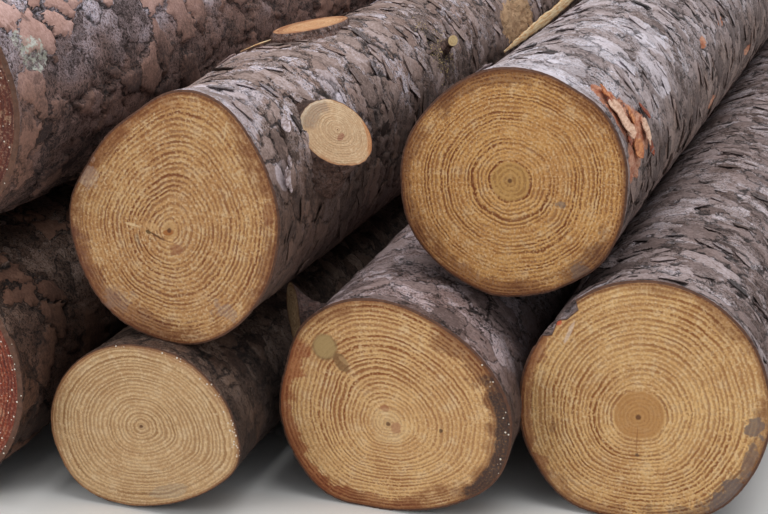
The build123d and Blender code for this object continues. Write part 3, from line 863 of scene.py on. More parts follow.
# %% The wood of each log
end_material = {
    "top_log_2": sawn_wood(
        "wood_top_2", tint(204, 159, 104), tint(112, 50, 12), tint(158, 98, 50), tint(112, 60, 34),
        25, 1.05, 0.5, 3, heart=(0.09, tint(196, 154, 102)), stain_from=0.9, stain_share=0.7,
        rims=[
            (228, 46, 0.80, 0.62, tint(124, 68, 40)), (196, 22, 0.86, 0.50, tint(140, 96, 76)),
            (345, 30, 0.86, 0.55, tint(122, 70, 40)), (118, 40, 0.88, 0.45, tint(150, 90, 44)),
        ],
        spots=[
            ((-0.236, 0.4455), (0.014, 0.026), 0, 0.35, tint(190, 170, 156), 0.9),
            ((-0.198, 0.280), (0.026, 0.016), 30, 0.35, tint(146, 124, 112), 0.9),
            ((-0.047, 0.283), (0.022, 0.012), 0, 0.35, tint(150, 132, 124), 0.9),
            ((0.012, 0.422), (0.010, 0.020), 0, 0.50, tint(120, 60, 35), 0.6),
            # The chip at the pith is painted flat. Its cream, tan, orange and pink-brown spots are
            # its own wood, while the grey patch at -0.168, the dark line at -0.141 and the dark
            # hole at -0.153 are painted shade under its lifted edge.
            ((-0.1134, 0.3605), (0.012, 0.009), 0, 0.55, tint(146, 92, 66), 0.5),
            ((-0.1680, 0.3670), (0.004, 0.009), 10, 0.40, tint(156, 138, 112), 0.4),
            ((-0.1745, 0.3858), (0.012, 0.0020), -8, 0.75, tint(226, 194, 148), 0.15),
            ((-0.1464, 0.3860), (0.012, 0.0060), -10, 0.50, tint(212, 170, 118), 0.4),
            ((-0.1410, 0.3745), (0.014, 0.0016), -25, 0.85, tint(84, 46, 26), 0.15),
            ((-0.1526, 0.3785), (0.0042, 0.0028), -20, 0.85, tint(84, 62, 30), 0.2),
            ((-0.1244, 0.3810), (0.0100, 0.0046), 12, 0.90, tint(160, 96, 44), 0.2),
            ((-0.1213, 0.3710), (0.0045, 0.0020), -10, 0.70, tint(228, 184, 126), 0.2),
            ((-0.0447, 0.519), (0.0013, 0.019), -10, 0.60, tint(214, 182, 138)),
        ],
    ),
    "top_log_3": sawn_wood(
        "wood_top_3", tint(212, 160, 94), tint(112, 50, 8), tint(156, 92, 42), tint(106, 56, 30),
        26, 1.12, 0.5, 7, heart=(0.2, tint(188, 144, 82)), stain_from=0.9, stain_share=0.7,
        rims=[
            (110, 34, 0.86, 0.60, tint(112, 62, 34)), (188, 40, 0.88, 0.50, tint(122, 72, 40)),
            (262, 36, 0.86, 0.60, tint(118, 62, 34)), (318, 26, 0.85, 0.50, tint(120, 84, 60)),
        ],
        spots=[
            ((0.3412, 0.4146), (0.008, 0.006), 0, 0.65, tint(120, 106, 98), 0.6),
            ((0.371, 0.329), (0.016, 0.012), 30, 0.50, tint(108, 94, 88), 0.6),
        ],
    ),
    "top_log_1": sawn_wood(
        "wood_top_1", tint(126, 56, 26), tint(72, 24, 10), tint(108, 36, 14), tint(66, 22, 10),
        28, 1.1, 0.45, 11, stain_from=0.2, wet=1.0,
    ),
    "bottom_log_1": sawn_wood(
        "wood_bottom_1", tint(170, 68, 24), tint(84, 26, 8), tint(142, 44, 14), tint(88, 28, 10),
        27, 1.1, 0.45, 13, stain_from=0.2, wet=1.0,
    ),
    "bottom_log_2": sawn_wood(
        "wood_bottom_2", tint(211, 175, 129), tint(136, 92, 50), tint(176, 130, 84),
        tint(124, 76, 46),
        23, 1.0, 0.38, 17, stain_from=1.1, stain_share=0.7, contrast=0.8,
        rims=[(170, 50, 0.93, 0.45, tint(176, 122, 78)), (60, 40, 0.93, 0.35, tint(170, 120, 84))],
        spots=[((-0.121, 0.033), (0.034, 0.011), 20, 0.35, tint(150, 138, 122))],
    ),
    "bottom_log_3": sawn_wood(
        "wood_bottom_3", tint(226, 183, 124), tint(132, 68, 24), tint(170, 112, 62),
        tint(124, 68, 38),
        26, 1.0, 0.47, 19, stain_from=0.9, stain_share=0.6,
        rims=[
            (190, 54, 0.86, 0.75, tint(160, 80, 40)), (34, 36, 0.82, 0.70, tint(134, 80, 44)),
            (262, 44, 0.84, 0.60, tint(150, 82, 44)), (352, 44, 0.80, 0.55, tint(140, 92, 56)),
            (356, 40, 0.875, 0.95, tint(84, 68, 62), 0.12),
        ],
        spots=[
            ((0.0830, 0.2030), (0.018, 0.0095), -50, 0.90, tint(132, 96, 60), 0.2),
            ((0.0870, 0.2060), (0.010, 0.0040), -40, 0.60, tint(186, 150, 104), 0.2),
            ((0.0600, 0.2210), (0.0205, 0.0210), 0, 0.85, tint(112, 80, 50), 0.1),
            ((0.0605, 0.2220), (0.0185, 0.0190), 0, 0.9, tint(180, 150, 100), 0.1),
            ((0.1609, 0.1214), (0.008, 0.010), 0, 0.70, tint(150, 72, 40)),
            ((0.1451, 0.1474), (0.007, 0.006), 0, 0.60, tint(150, 74, 42)),
            ((0.2225, 0.1265), (0.003, 0.003), 0, 0.85, tint(84, 58, 38)),
            ((0.150, 0.122), (0.030, 0.030), 0, 0.25, tint(226, 196, 150)),
        ],
    ),
    "bottom_log_4": sawn_wood(
        "wood_bottom_4", tint(226, 182, 121), tint(132, 72, 26), tint(166, 108, 58),
        tint(118, 66, 38),
        28, 0.95, 0.48, 23, heart=(0.235, tint(180, 128, 72)), stain_from=0.93, stain_share=0.6,
        rims=[
            (178, 44, 0.91, 0.65, tint(146, 76, 42)), (310, 34, 0.86, 0.60, tint(120, 92, 74)),
            (245, 30, 0.90, 0.45, tint(140, 86, 52)), (350, 24, 0.92, 0.45, tint(130, 84, 54)),
        ],
        spots=[
            ((0.3525, 0.2681), (0.006, 0.006), 0, 0.85, tint(196, 84, 60)),
            ((0.368, 0.254), (0.0035, 0.020), -20, 0.55, tint(228, 204, 184)),
            ((0.467, 0.0963), (0.003, 0.003), 0, 0.85, tint(96, 62, 40)),
            ((0.4655, 0.121), (0.0010, 0.024), 0, 0.55, tint(146, 94, 50)),
            ((0.353, 0.119), (0.005, 0.010), 0, 0.55, tint(126, 82, 50)),
            ((0.617, 0.157), (0.014, 0.017), 0, 0.80, tint(112, 96, 90), 0.9),
            ((0.610, 0.110), (0.008, 0.026), -10, 0.70, tint(116, 96, 86), 0.9),
            ((0.588, 0.058), (0.034, 0.018), 45, 0.85, tint(106, 92, 88), 0.9),
        ],
    ),
}
print("wood materials:", len(end_material))


# %% [markdown]
# ## The skin of one log
# The skin starts as a fine tube of rows and columns on the smooth stem. Rows lie closer
# together near the front saw cut, where the camera looks, and wider apart at the back. Where
# the solid has a knot or a tear the tube follows it, but not where a sawn branch stands up:
# a tube can't follow a steep side, so each of those becomes a piece of its own later. The relief
# tree runs on the tube, and its result is read back as plain numbers.

# %% Making the skin
fade_out = 0.16  # how far behind the front saw cut its own dents and bulges reach
clear_of_cut = 0.0005  # keeps a ray off the saw cut itself
under_solid = 0.0004  # how far inside the solid the skin stays where it follows it


def bell(x):
    """1 at 0, falling smoothly to 0 at 1."""
    return 0.5 + 0.5 * np.cos(pi * np.clip(x, 0, 1))


def turn_from(angles, middle):
    """How far angles lie from another one, between minus and plus half a turn."""
    return (angles - middle + pi) % (2 * pi) - pi


def rows_of(length, count):
    """The rows' distances from the front saw cut, closer together near it."""
    share = np.linspace(0, 1, count)
    return length * (0.42 * share + 0.58 * share**2)


def lumps(stem, swell):
    """Extra radius around the saw cut from a short list of (angle in degrees, millimetres)."""
    turns, extra = np.array(swell or [(0, 0)], float).T
    around = np.interp(np.degrees(stem.angles), turns, extra / 1000, period=360)
    return stem.waves(around, 14)


def swellings(stem, along, humps):
    """Low swellings, as around a branch: (along, degrees, half length, half angle, height)."""
    total = np.zeros((len(along), around_count))
    for middle, degrees, half, half_angle, height in humps:
        across = np.abs(turn_from(stem.angles, radians(degrees))) / radians(half_angle)
        length = np.abs(along - middle) / half
        total += height * (bell(length)[:, None] * bell(across))
    return total


def smooth_tube(stem, count, follow, extra):
    """Radii of every row and column of vertices.

    follow lists the parts where the skin follows the solid itself, as (first, last, low, high):
    from and to along the log, and from and to around it in radians.
    """
    along = rows_of(stem.length, count)
    radii = stem.rim_front[None, :] + stem.growth[None, :] * along[:, None]
    radii += bell(along / fade_out)[:, None] * extra[None, :]
    for first, last, low, high in follow:
        for row in np.nonzero((along >= first) & (along <= last))[0]:
            for column in np.nonzero((stem.angles >= low) & (stem.angles <= high))[0]:
                inside = min(max(along[row], clear_of_cut), stem.length - clear_of_cut)
                radii[row, column] = stem.reach(inside, stem.angles[column]) - under_solid
    return along, radii


def keep(mesh, name, data):
    """Stores a number or a vector for each vertex, for a node tree to read."""
    kind, key = ("FLOAT_VECTOR", "vector") if data.ndim > 1 else ("FLOAT", "value")
    mesh.attributes.new(name, kind, "POINT").data.foreach_set(key, data.ravel())


def tube_mesh(stem, along, radii, name):
    """The smooth tube, which keeps its way inwards and its place on the bark."""
    middles = stem.middle(along)
    x = middles[:, 0, None] + radii * np.cos(stem.angles)
    z = middles[:, 1, None] + radii * np.sin(stem.angles)
    y = np.broadcast_to((stem.front + along)[:, None], x.shape)
    points = np.stack([x, y, z], -1).reshape(-1, 3)
    rows = len(along)
    mesh = bpy.data.meshes.new(name)
    mesh.from_pydata(points.tolist(), [], tube_faces(rows).tolist())
    ends = np.minimum(along, stem.length - along)
    ease = 0.1 + 0.9 * np.clip(ends / 0.04, 0, 1)
    inwards = np.stack([-np.cos(stem.angles), 0 * stem.angles, -np.sin(stem.angles)], -1)
    keep(mesh, "inwards", inwards[None] * ease[:, None, None])
    keep(mesh, "skin", points)
    return mesh


def tube_faces(rows, columns=around_count):
    """Quads of a tube, wound so that they face outwards."""
    row, column = np.meshgrid(np.arange(rows - 1), np.arange(columns), indexing="ij")
    after = (column + 1) % columns
    base = row * columns
    quads = [base + column, base + after, base + columns + after, base + columns + column]
    return np.stack(quads, -1).reshape(-1, 4)[:, ::-1]


def run_tree(mesh, tree, values, name):
    """Runs a Geometry Nodes tree on a mesh and returns the plain mesh that comes out."""
    carrier = add_object(name, mesh)
    modifier = carrier.modifiers.new("nodes", "NODES")
    modifier.node_group = tree
    for item in tree.interface.items_tree:
        if item.item_type == "SOCKET" and item.in_out == "INPUT" and item.name in values:
            modifier[item.identifier] = values[item.name]
    dependencies = bpy.context.evaluated_depsgraph_get()
    made = bpy.data.meshes.new_from_object(carrier.evaluated_get(dependencies))
    carrier.modifiers.clear()
    bpy.data.objects.remove(carrier)
    return made


def read(mesh, name, kind="value", width=1):
    """Reads back what each vertex keeps."""
    numbers = np.empty(len(mesh.vertices) * width, np.float32)
    mesh.attributes[name].data.foreach_get(kind, numbers)
    return numbers.reshape(-1, width) if width > 1 else numbers

# %% [markdown]
# ## Sawn ends
# A sawn end is a disc of wood inside a thin ring of bark. Growth rings start round at the pith,
# which is seldom in the middle, and end in the outline of the stem. So the disc is made of rings
# of vertices that shrink from the outline to the pith, and its UV map stores how far each vertex
# lies from the pith, as a share of the way to the bark. The ring material reads the rings from
# the length of that UV vector, and the marks along the rim from its direction too. The bark's
# edge lies a little deeper than the wood and is uneven, because a saw tears it.

# %% Closing the tube with two sawn ends
end_shares = (1.0, 0.97, 0.92, 0.85, 0.76, 0.64, 0.5, 0.35, 0.2, 0.08)
bare_end = 0.02  # no loose scales this close to a saw cut
side_room = 0.016  # nor this close to the sides of the stack


def end_disc(stem, rim, smooth, middle, pith, y, bark, rng):
    """Vertices of one end, from the bark's inner edge to the pith, and their UV vectors."""
    angles = stem.angles
    chips = np.convolve(np.tile(rng.random(around_count), 3), np.ones(5) / 5, "same")
    chips = chips[around_count : 2 * around_count]
    whole = smooth - bark
    wood = np.minimum(rim - 0.0015, whole * (1.0 - 0.006 * chips))
    outline = np.stack([np.cos(angles), np.sin(angles)], -1)
    edge = middle + outline * wood[:, None] - pith
    limit = np.linalg.norm(middle + outline * whole[:, None] - pith, axis=1)
    lengths = np.linalg.norm(edge, axis=1)
    points, uvs = [], []
    for share in end_shares:
        ring = pith + edge * share
        points.append(np.stack([ring[:, 0], np.full(around_count, y), ring[:, 1]], -1))
        uvs.append(edge / lengths[:, None] * (share * np.minimum(lengths / limit, 1.0))[:, None])
    points.append(np.array([[pith[0], y, pith[1]]]))
    uvs.append(np.zeros((1, 2)))
    return np.concatenate(points), np.concatenate(uvs)


def end_faces(rim_start, disc_start, flip):
    """Quads from the rim through the disc's rings, and triangles around the pith."""
    column = np.arange(around_count)
    after = (column + 1) % around_count
    starts = [rim_start] + [disc_start + i * around_count for i in range(len(end_shares))]
    quads = [
        np.stack([a + column, a + after, b + after, b + column], -1)
        for a, b in zip(starts, starts[1:])
    ]
    quads = np.concatenate(quads)
    last, pith = starts[-1], disc_start + len(end_shares) * around_count
    tips = np.stack([last + column, last + after, np.full(around_count, pith)], -1)
    return (quads[:, ::-1], tips[:, ::-1]) if flip else (quads, tips)


def lay_cut(mesh, uv):
    """Writes the UV map that the ring material reads, from a vector from the pith."""
    layer = mesh.uv_layers.new(name="cut")
    corners = np.empty(len(mesh.loops), np.int32)
    mesh.loops.foreach_get("vertex_index", corners)
    layer.data.foreach_set("uv", (uv[corners] * 0.25 + 0.5).ravel())


def bark_and_wood(mesh, sawn, bark_finish, wood_finish):
    """Gives the sawn faces, a slice of them all, the wood, and the others the bark."""
    slots = np.zeros(len(mesh.polygons), np.int32)
    slots[sawn] = 1
    mesh.polygons.foreach_set("material_index", slots)
    mesh.polygons.foreach_set("use_smooth", slots == 0)
    mesh.materials.append(bark_finish)
    mesh.materials.append(wood_finish)


def strongest(stem, points, turn, spots):
    """The highest of several oval patches at each vertex."""
    mask = np.zeros(len(points))
    for spot in spots:
        mask = np.maximum(mask, mark_of(stem, points, turn, *spot))
    return mask


def build_log(name, looks):
    """Makes the finished mesh object of one log from its CAD stem and its own values."""
    stem = stems[name]
    rng = np.random.default_rng(looks["seed"])
    extra = lumps(stem, looks.get("swell"))
    along, radii = smooth_tube(stem, looks["rows"], looks.get("follow", ()), extra)
    radii += swellings(stem, along, looks.get("humps", ()))
    tube = tube_mesh(stem, along, radii, name + "_tube")
    pattern = patterns[name]
    values = {
        "Plate Width": pattern["size"], "Stretch": pattern["stretch"], "Steps": pattern["steps"],
        "Rough Share": pattern["rough"], "Seed": pattern["seed"], "Peel": looks["peel"],
        "Furrow Depth": looks["furrow"][0], "Furrow Width": looks["furrow"][1],
        "Rough Depth": looks["rough"], "Grain": looks["grain"], "Bend": pattern["bend"],
        "Material": bark_material[name],
    }
    skin = run_tree(tube, bark_relief, values, name + "_carrier")
    points = np.empty(len(skin.vertices) * 3, np.float32)
    skin.vertices.foreach_get("co", points)
    points = points.reshape(-1, 3)
    count = len(along) * around_count
    first_row, last_row = slice(0, around_count), slice(count - around_count, count)
    front_rim = np.linalg.norm(points[first_row, [0, 2]] - stem.front_middle, axis=1)
    back_rim = np.linalg.norm(points[last_row, [0, 2]] - stem.back_middle, axis=1)
    ragged = rng.random(around_count) * 0.002 + 0.001
    points[first_row, 1] += ragged + looks.get("set_in", 0.0)
    points[last_row, 1] -= ragged
    pith = stem.front_middle + np.array(looks["pith"])
    front, front_uv = end_disc(
        stem, front_rim, stem.rim_front + extra, stem.front_middle, pith,
        stem.front + looks.get("set_in", 0.0), looks["bark"], rng,
    )
    back, back_uv = end_disc(
        stem, back_rim, stem.radius(stem.length), stem.back_middle,
        stem.back_middle + np.array(looks["pith"]) * 0.8, stem.back, looks["bark"], rng,
    )
    sides = tube_faces(len(along))
    front_quads, front_tips = end_faces(0, count, False)
    back_quads, back_tips = end_faces(count - around_count, count + len(front), True)
    quads = np.concatenate([sides, front_quads, back_quads])
    tips = np.concatenate([front_tips, back_tips])
    everything = np.concatenate([points, front, back])
    mesh = bpy.data.meshes.new(name + "_timber")
    mesh.from_pydata(everything.tolist(), [], quads.tolist() + tips.tolist())
    uv = np.concatenate([np.zeros((count, 2)), front_uv, back_uv])
    for rim_uv, disc_uv in ((uv[first_row], front_uv), (uv[last_row], back_uv)):
        toward = disc_uv[:around_count]
        rim_uv[:] = toward / np.linalg.norm(toward, axis=1)[:, None] * 1.05
    lay_cut(mesh, uv)
    end_count = len(front) + len(back)
    keep(mesh, "furrow", np.concatenate([read(skin, "furrow"), np.zeros(end_count, np.float32)]))
    on_bark = np.concatenate([read(skin, "skin", "vector", 3), front, back])
    keep(mesh, "skin", on_bark.astype(np.float32))
    turn = np.arctan2(
        everything[:, 2] - np.interp(everything[:, 1], *axis_line(stem, 1)),
        everything[:, 0] - np.interp(everything[:, 1], *axis_line(stem, 0)),
    )
    # How far each vertex faces up; the bark material paints shade from it.
    keep(mesh, "sky", np.sin(turn))
    mark = strongest(stem, everything, turn, looks.get("marks", ()))
    keep(mesh, "mark", mark)
    # Pale peeling sheets on the upper side, which are also a painted highlight there.
    keep(mesh, "pale", strongest(stem, everything, turn, looks.get("sheets_and_highlight", ())))
    sides_only = np.concatenate([np.ones(count), np.zeros(end_count)])
    from_end = np.minimum(everything[:, 1] - stem.front, stem.back - everything[:, 1])
    near_end = from_end < bare_end
    sides_only[near_end] = 0.0
    flaky = sides_only * (0.3 + 0.7 * (np.sin(turn) > -0.3)) * (mark < 0.3)
    flaky[np.abs(everything[:, 0]) > cad_high[0] - side_room] = 0.0
    keep(mesh, "flaky", flaky)
    dust = strongest(stem, everything, turn, looks.get("dust", ()))
    keep(mesh, "dusty", dust**3 * sides_only)
    resin = np.zeros(len(everything))
    degrees, length = np.degrees(turn), np.linalg.norm(uv, axis=1)
    number = np.arange(len(everything))
    on_front = (number >= count) & (number < count + len(front))
    for first, last, inner, amount in looks.get("resin", ()):
        here = (degrees >= first) & (degrees <= last) & (length >= inner) & (length <= 1.01)
        resin = np.maximum(resin, (here & on_front) * amount)
    keep(mesh, "resin", resin)
    bark_and_wood(mesh, slice(len(sides), None), bark_material[name], end_material[name])
    mesh.update()
    bpy.data.meshes.remove(skin)
    bpy.data.meshes.remove(tube)
    piece = add_object(name + "_timber", mesh)
    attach(piece, "root")
    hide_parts(name)
    return piece


def axis_line(stem, which):
    """The axis from end to end, as two lists: places along it, and x (0) or z (1) there."""
    return [stem.front, stem.back], [stem.front_middle[which], stem.back_middle[which]]


def mark_of(stem, points, turn, along, angle, half_length, half_width):
    """1 inside an oval patch on the bark, falling to 0 at its border."""
    around = turn_from(turn, radians(angle))
    away = np.hypot(
        (points[:, 1] - stem.front - along) / half_length,
        around * stem.radius(along).mean() / half_width,
    )
    return np.clip(1.6 - away, 0, 1)

# %% [markdown]
# ## Building the seven logs
# Each log now needs only its own numbers. Four of them have thin, flaky bark in small plates.
# The big log at the left and the one below it have the thick, wide plates of an old stem, and
# the small log is the smoothest. The fineness of each mesh follows how much of it the camera
# sees. In the lists below, swell gives the dents and bulges of the front saw cut, in degrees and
# millimetres. marks, pale sheets and dust are oval patches on the bark: the place along the log,
# degrees, half length and half width. The pale sheets lie on the upper side and are both peeling
# bark and painted highlight. resin is a part of the saw cut: from and to in degrees, where it
# starts as a share of the way to the bark, and how much there is.

# %% The logs' own values
log_looks = {
    "top_log_2": dict(
        slot="grey_bark", seed=3, rows=280, furrow=(0.0030, 0.08), peel=0.0055, rough=0.0012,
        grain=0.0010, bark=0.0035, pith=(-0.008, -0.011), humps=[(0.36, 120, 0.24, 32, 0.016)],
        marks=[(1.22, 31, 0.10, 0.04)],
        sheets_and_highlight=[
            (0.030, 76, 0.050, 0.040), (0.030, 62, 0.050, 0.035), (0.080, 70, 0.040, 0.030),
            (0.045, 27, 0.022, 0.022), (0.30, 52, 0.030, 0.030),
        ],
        dust=[(0.76, 38, 0.055, 0.04), (0.74, 52, 0.03, 0.03)],
        swell=[
            (7, 4), (26, -3), (40, -7), (55, -4), (70, 5), (84, 8), (97, 4), (108, -3), (135, 0),
            (158, 0), (170, 4), (184, 2), (204, -3), (221, 0), (238, 3), (255, 2), (275, 4),
            (290, 2), (301, 0), (318, 0), (335, 3), (352, 4),
        ],
    ),
    "top_log_3": dict(
        slot="grey_bark", seed=7, rows=280, furrow=(0.0030, 0.08), peel=0.0055, rough=0.0012,
        grain=0.0010, bark=0.0035, pith=(-0.006, 0.008),
        marks=[
            (0.070, 51, 0.020, 0.018), (0.075, 37, 0.040, 0.042), (0.120, 29, 0.026, 0.026),
            (0.152, 22, 0.024, 0.026), (0.080, 18, 0.032, 0.034), (0.050, 11, 0.022, 0.020),
            (0.893, 32, 0.022, 0.009), (0.704, 31, 0.020, 0.010), (0.740, -11, 0.035, 0.010),
            (1.147, -5, 0.040, 0.008),
        ],
        sheets_and_highlight=[
            (0.04, 96, 0.06, 0.06), (0.02, 72, 0.05, 0.05), (0.10, 78, 0.05, 0.04),
            (0.26, 66, 0.05, 0.05), (0.45, 60, 0.06, 0.05), (0.34, 40, 0.05, 0.04),
        ],
        swell=[
            (1, -2), (20, 2), (47, 4), (60, 0), (75, 2), (107, 8), (135, 6), (164, 8), (184, 4),
            (211, 3), (224, 0), (245, 0), (262, 3), (280, -1), (306, -2), (322, 2), (340, 0),
        ],
    ),
    "top_log_1": dict(
        slot="rough_bark", seed=11, rows=240, furrow=(0.0050, 0.045), peel=0.0045, rough=0.0045,
        grain=0.0012, bark=0.0090, pith=(-0.01, 0.0),
        marks=[(0.075, 23, 0.026, 0.022), (0.055, 30, 0.012, 0.014)],
        resin=[(-60, 60, 0.3, 1.0)], set_in=0.0015,
    ),
    "bottom_log_1": dict(
        slot="rough_bark", seed=13, rows=150, furrow=(0.0050, 0.045), peel=0.0045, rough=0.0045,
        grain=0.0012, bark=0.0090, pith=(0.01, 0.0), resin=[(-60, 60, 0.3, 1.0)],
    ),
    "bottom_log_2": dict(
        slot="dark_bark", seed=17, rows=140, furrow=(0.0015, 0.08), peel=0.0022, rough=0.0008,
        grain=0.0008, bark=0.0020, pith=(0.004, 0.006),
        resin=[(-8, 75, 0.965, 1.0), (75, 120, 0.98, 0.25)],
        swell=[
            (9, 4), (38, 4), (58, 6), (83, 2), (110, 1), (150, 0), (180, -1), (202, -4), (226, -1),
            (251, -3), (270, -3), (315, -4), (332, 0), (345, 8), (355, 9),
        ],
    ),
    "bottom_log_3": dict(
        slot="dark_bark", seed=19, rows=200, furrow=(0.0030, 0.06), peel=0.0050, rough=0.0015,
        grain=0.0010, bark=0.0040, pith=(0.002, -0.022),
        follow=[(0.125, 0.30, 0.0, 1.75)], resin=[(-25, 45, 0.93, 1.0)],
        swell=[
            (1, 8), (15, 6), (35, 3), (54, 0), (64, -2), (100, -3), (141, -2), (164, -7), (186, 0),
            (219, 2), (232, 6), (240, 8), (255, 2), (270, 0), (300, 0), (320, 4), (334, 9),
            (350, 7),
        ],
    ),
    "bottom_log_4": dict(
        slot="dark_bark", seed=23, rows=210, furrow=(0.0030, 0.08), peel=0.0055, rough=0.0015,
        grain=0.0012, bark=0.0040, pith=(-0.009, -0.019),
        follow=[(0.0, 0.078, 2.1, 2.75), (0.07, 0.24, 1.3, 3.1)],
        swell=[
            (0, 0), (20, -4), (57, -3), (77, -1), (98, 0), (150, 0), (165, 3), (180, 6), (200, 9),
            (220, 9), (235, 12), (250, 6), (262, 0), (280, 0), (300, 4), (309, 6), (322, 3),
            (348, 0),
        ],
    ),
}


def triangles(mesh):
    """How many triangles the faces of a mesh make."""
    return sum(len(face.vertices) - 2 for face in mesh.polygons)


logs = {name: build_log(name, looks) for name, looks in log_looks.items()}
for name, piece in logs.items():
    print(name, "triangles", triangles(piece.data))

# %% [markdown]
# ## What the saw left of the branches
# A sawn branch is an oval stub that grows out of a collar in the bark. Its sides are too steep
# for the log's own skin, so each stub is a piece of its own: rings of vertices follow the oval
# from below the bark up to a tilted cut, and a disc with its own pith closes it. The sizes and
# directions repeat the ones that the frame was made with.

# %% Making a branch stub
stub_columns = 96
stub_rings = 16  # rings of vertices up the side of a stub
stub_ray = 0.3  # how far above the bark a ray starts that measures a stub


def face_outwards(mesh):
    """Turns every face of a closed mesh so that it looks out."""
    closed = bmesh.new()
    closed.from_mesh(mesh)
    bmesh.ops.recalc_face_normals(closed, faces=closed.faces)
    closed.to_mesh(mesh)
    closed.free()


def stub_share(height, sink, collar):
    """How much wider than the branch the stub is at a height above the bark."""
    heights = np.array([-sink, 0.15 * sink, 0.8 * sink, 1.6 * sink])
    return np.interp(height, heights, [collar, 1.22, 1.04, 1.0])


def branch_stub(name, log, along, angle, half, height, facing, collar, look, pith=(0.0, 0.0)):
    """A stub with its collar, its tilted cut and a pith of its own.

    facing is (angle, forwards): where the cut looks to. height None is measured by a ray.
    """
    stem = stems[log]
    angle = radians(angle)
    outwards = outwards_at(angle)
    root = stem.point(along, angle)
    if height is None:
        far = root + outwards * stub_ray
        height = stub_ray - (far - stem.tree.ray_cast(far, -outwards)[0]).length
    lengthwise, around = Vector((0, 1, 0)), outwards.cross(Vector((0, 1, 0)))
    cut = Vector((cos(radians(facing[0])), -facing[1], sin(radians(facing[0]))))
    sink = half[1] * 0.55
    turns = np.arange(stub_columns) * 2 * pi / stub_columns
    oval = np.array(lengthwise)[None] * half[0] * np.cos(turns)[:, None]
    oval = oval + np.array(around)[None] * half[1] * np.sin(turns)[:, None]
    slope = oval @ np.array(cut) / outwards.dot(cut)
    top = np.full(stub_columns, height)
    # The stub widens downwards, so where its side meets the tilted cut is found in a few rounds.
    for _ in range(6):
        top = height - slope * stub_share(top, sink, collar)
    rng = np.random.default_rng(look["seed"])
    phase = rng.random(6) * 6
    points = []
    for step in np.linspace(0, 1, stub_rings):
        z = -sink + (top + sink) * step
        wide = stub_share(z, sink, collar)
        folds = np.sin(z / look["fold"] * 6.28 + 1.6 * np.sin(turns * 2 + phase[0]) + phase[1])
        ripples = np.sin(turns * 13 + phase[2] + z * 300) * np.sin(turns * 7 + phase[3])
        below_cut = 0.25 + 0.75 * min(1.0, (1 - step) * 3)
        wrinkle = look["wrinkle"] * (0.5 + 0.5 * folds) + 0.012 * (1 + ripples)
        wide = wide * (1 - wrinkle * below_cut)
        side, half_side, share = look.get("trim", (0.0, 1.0, 0.0))
        away = np.abs(turn_from(turns, radians(side))) / radians(half_side)
        wide = wide * (1 - share * step * bell(away))
        points.append(np.array(root) + oval * wide[:, None] + np.array(outwards) * z[:, None])
    rim = points[-1]
    heart = np.array(root + outwards * height) + oval[0] * 0
    off = np.array(lengthwise) * pith[0] + np.array(around) * pith[1]
    off = off - np.array(outwards) * float(off @ np.array(cut)) / outwards.dot(cut)
    centre = heart + off
    circle = np.stack([np.cos(turns), np.sin(turns)], -1)
    uvs = [np.zeros((stub_columns, 2))] * (stub_rings - 1) + [circle * 1.05]
    for share in (0.985, 0.9, 0.75, 0.55, 0.32, 0.12):
        points.append(centre + (rim - centre) * share)
        uvs.append(circle * min(share / 0.985, 1.0))
    rows = len(points)
    column = np.arange(stub_columns)
    after = (column + 1) % stub_columns
    quads = tube_faces(rows, stub_columns)[:, ::-1]
    last = (rows - 1) * stub_columns
    count = rows * stub_columns
    caps = [np.stack([last + column, last + after, np.full(stub_columns, count)], -1)]
    caps.append(np.stack([after, column, np.full(stub_columns, count + 1)], -1))
    bottom = np.array(root - outwards * sink)
    everything = np.concatenate(points + [centre[None], bottom[None]])
    mesh = bpy.data.meshes.new(name)
    mesh.from_pydata(everything.tolist(), [], quads.tolist() + np.concatenate(caps).tolist())
    lay_cut(mesh, np.concatenate(uvs + [np.zeros((2, 2))]))
    grain = rng.random(len(everything))
    keep(mesh, "skin", everything)
    keep(mesh, "furrow", 0.3 * grain)
    # How far the stub faces up, from which its bark material paints shade.
    keep(mesh, "sky", np.full(len(everything), sin(angle) * 0.6))
    keep(mesh, "pale", 0 * grain)
    sawn = slice((stub_rings - 1) * stub_columns, len(quads) + stub_columns)
    bark_and_wood(mesh, sawn, look["bark"], look["wood"])
    face_outwards(mesh)
    piece = add_object(name, mesh)
    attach(piece, "root")
    print(name, "stands", round(height * 1000, 1), "mm above the bark")

# %% [markdown]
# The four stubs differ in their wood. The one on the flank is fresh and tan with a cream edge.
# The one on the crown is a flat orange scar. The prop between two logs is dull and brown.

# %% The four stubs
folds = dict(size=0.016, stretch=1.0, seed=29.0, steps=3.0, rough=1.0, slits=0.8, bend=1.3)
fold_bark = bark(
    "bark_folds", folds, tint(56, 38, 32), tint(98, 72, 62), tint(130, 102, 92),
    tint(160, 140, 136),
    tint(126, 78, 58), tint(84, 58, 46), 0.0006,
)
prop_bark = bark(
    "bark_prop", folds, tint(44, 32, 30), tint(80, 58, 54), tint(112, 84, 76), tint(130, 110, 108),
    tint(120, 66, 48), tint(70, 48, 40), 0.0006,
)
flank_wood = sawn_wood(
    "wood_flank_stub", tint(202, 170, 134), tint(168, 128, 94), tint(190, 146, 104),
    tint(172, 118, 76),
    14, 1.0, 0.42, 31, stain_from=1.05, stain_share=0.6, contrast=0.4,
    rims=[
        (325, 38, 0.86, 0.65, tint(184, 112, 56)), (232, 40, 0.93, 0.45, tint(176, 116, 70)),
        (110, 44, 0.52, 0.55, tint(138, 118, 106)), (106, 52, 0.90, 1.0, tint(244, 226, 198), 0.05),
    ],
    spots=[((0.0456, 0.4822), (0.0045, 0.0050), 0, 0.9, tint(158, 108, 82))],
)
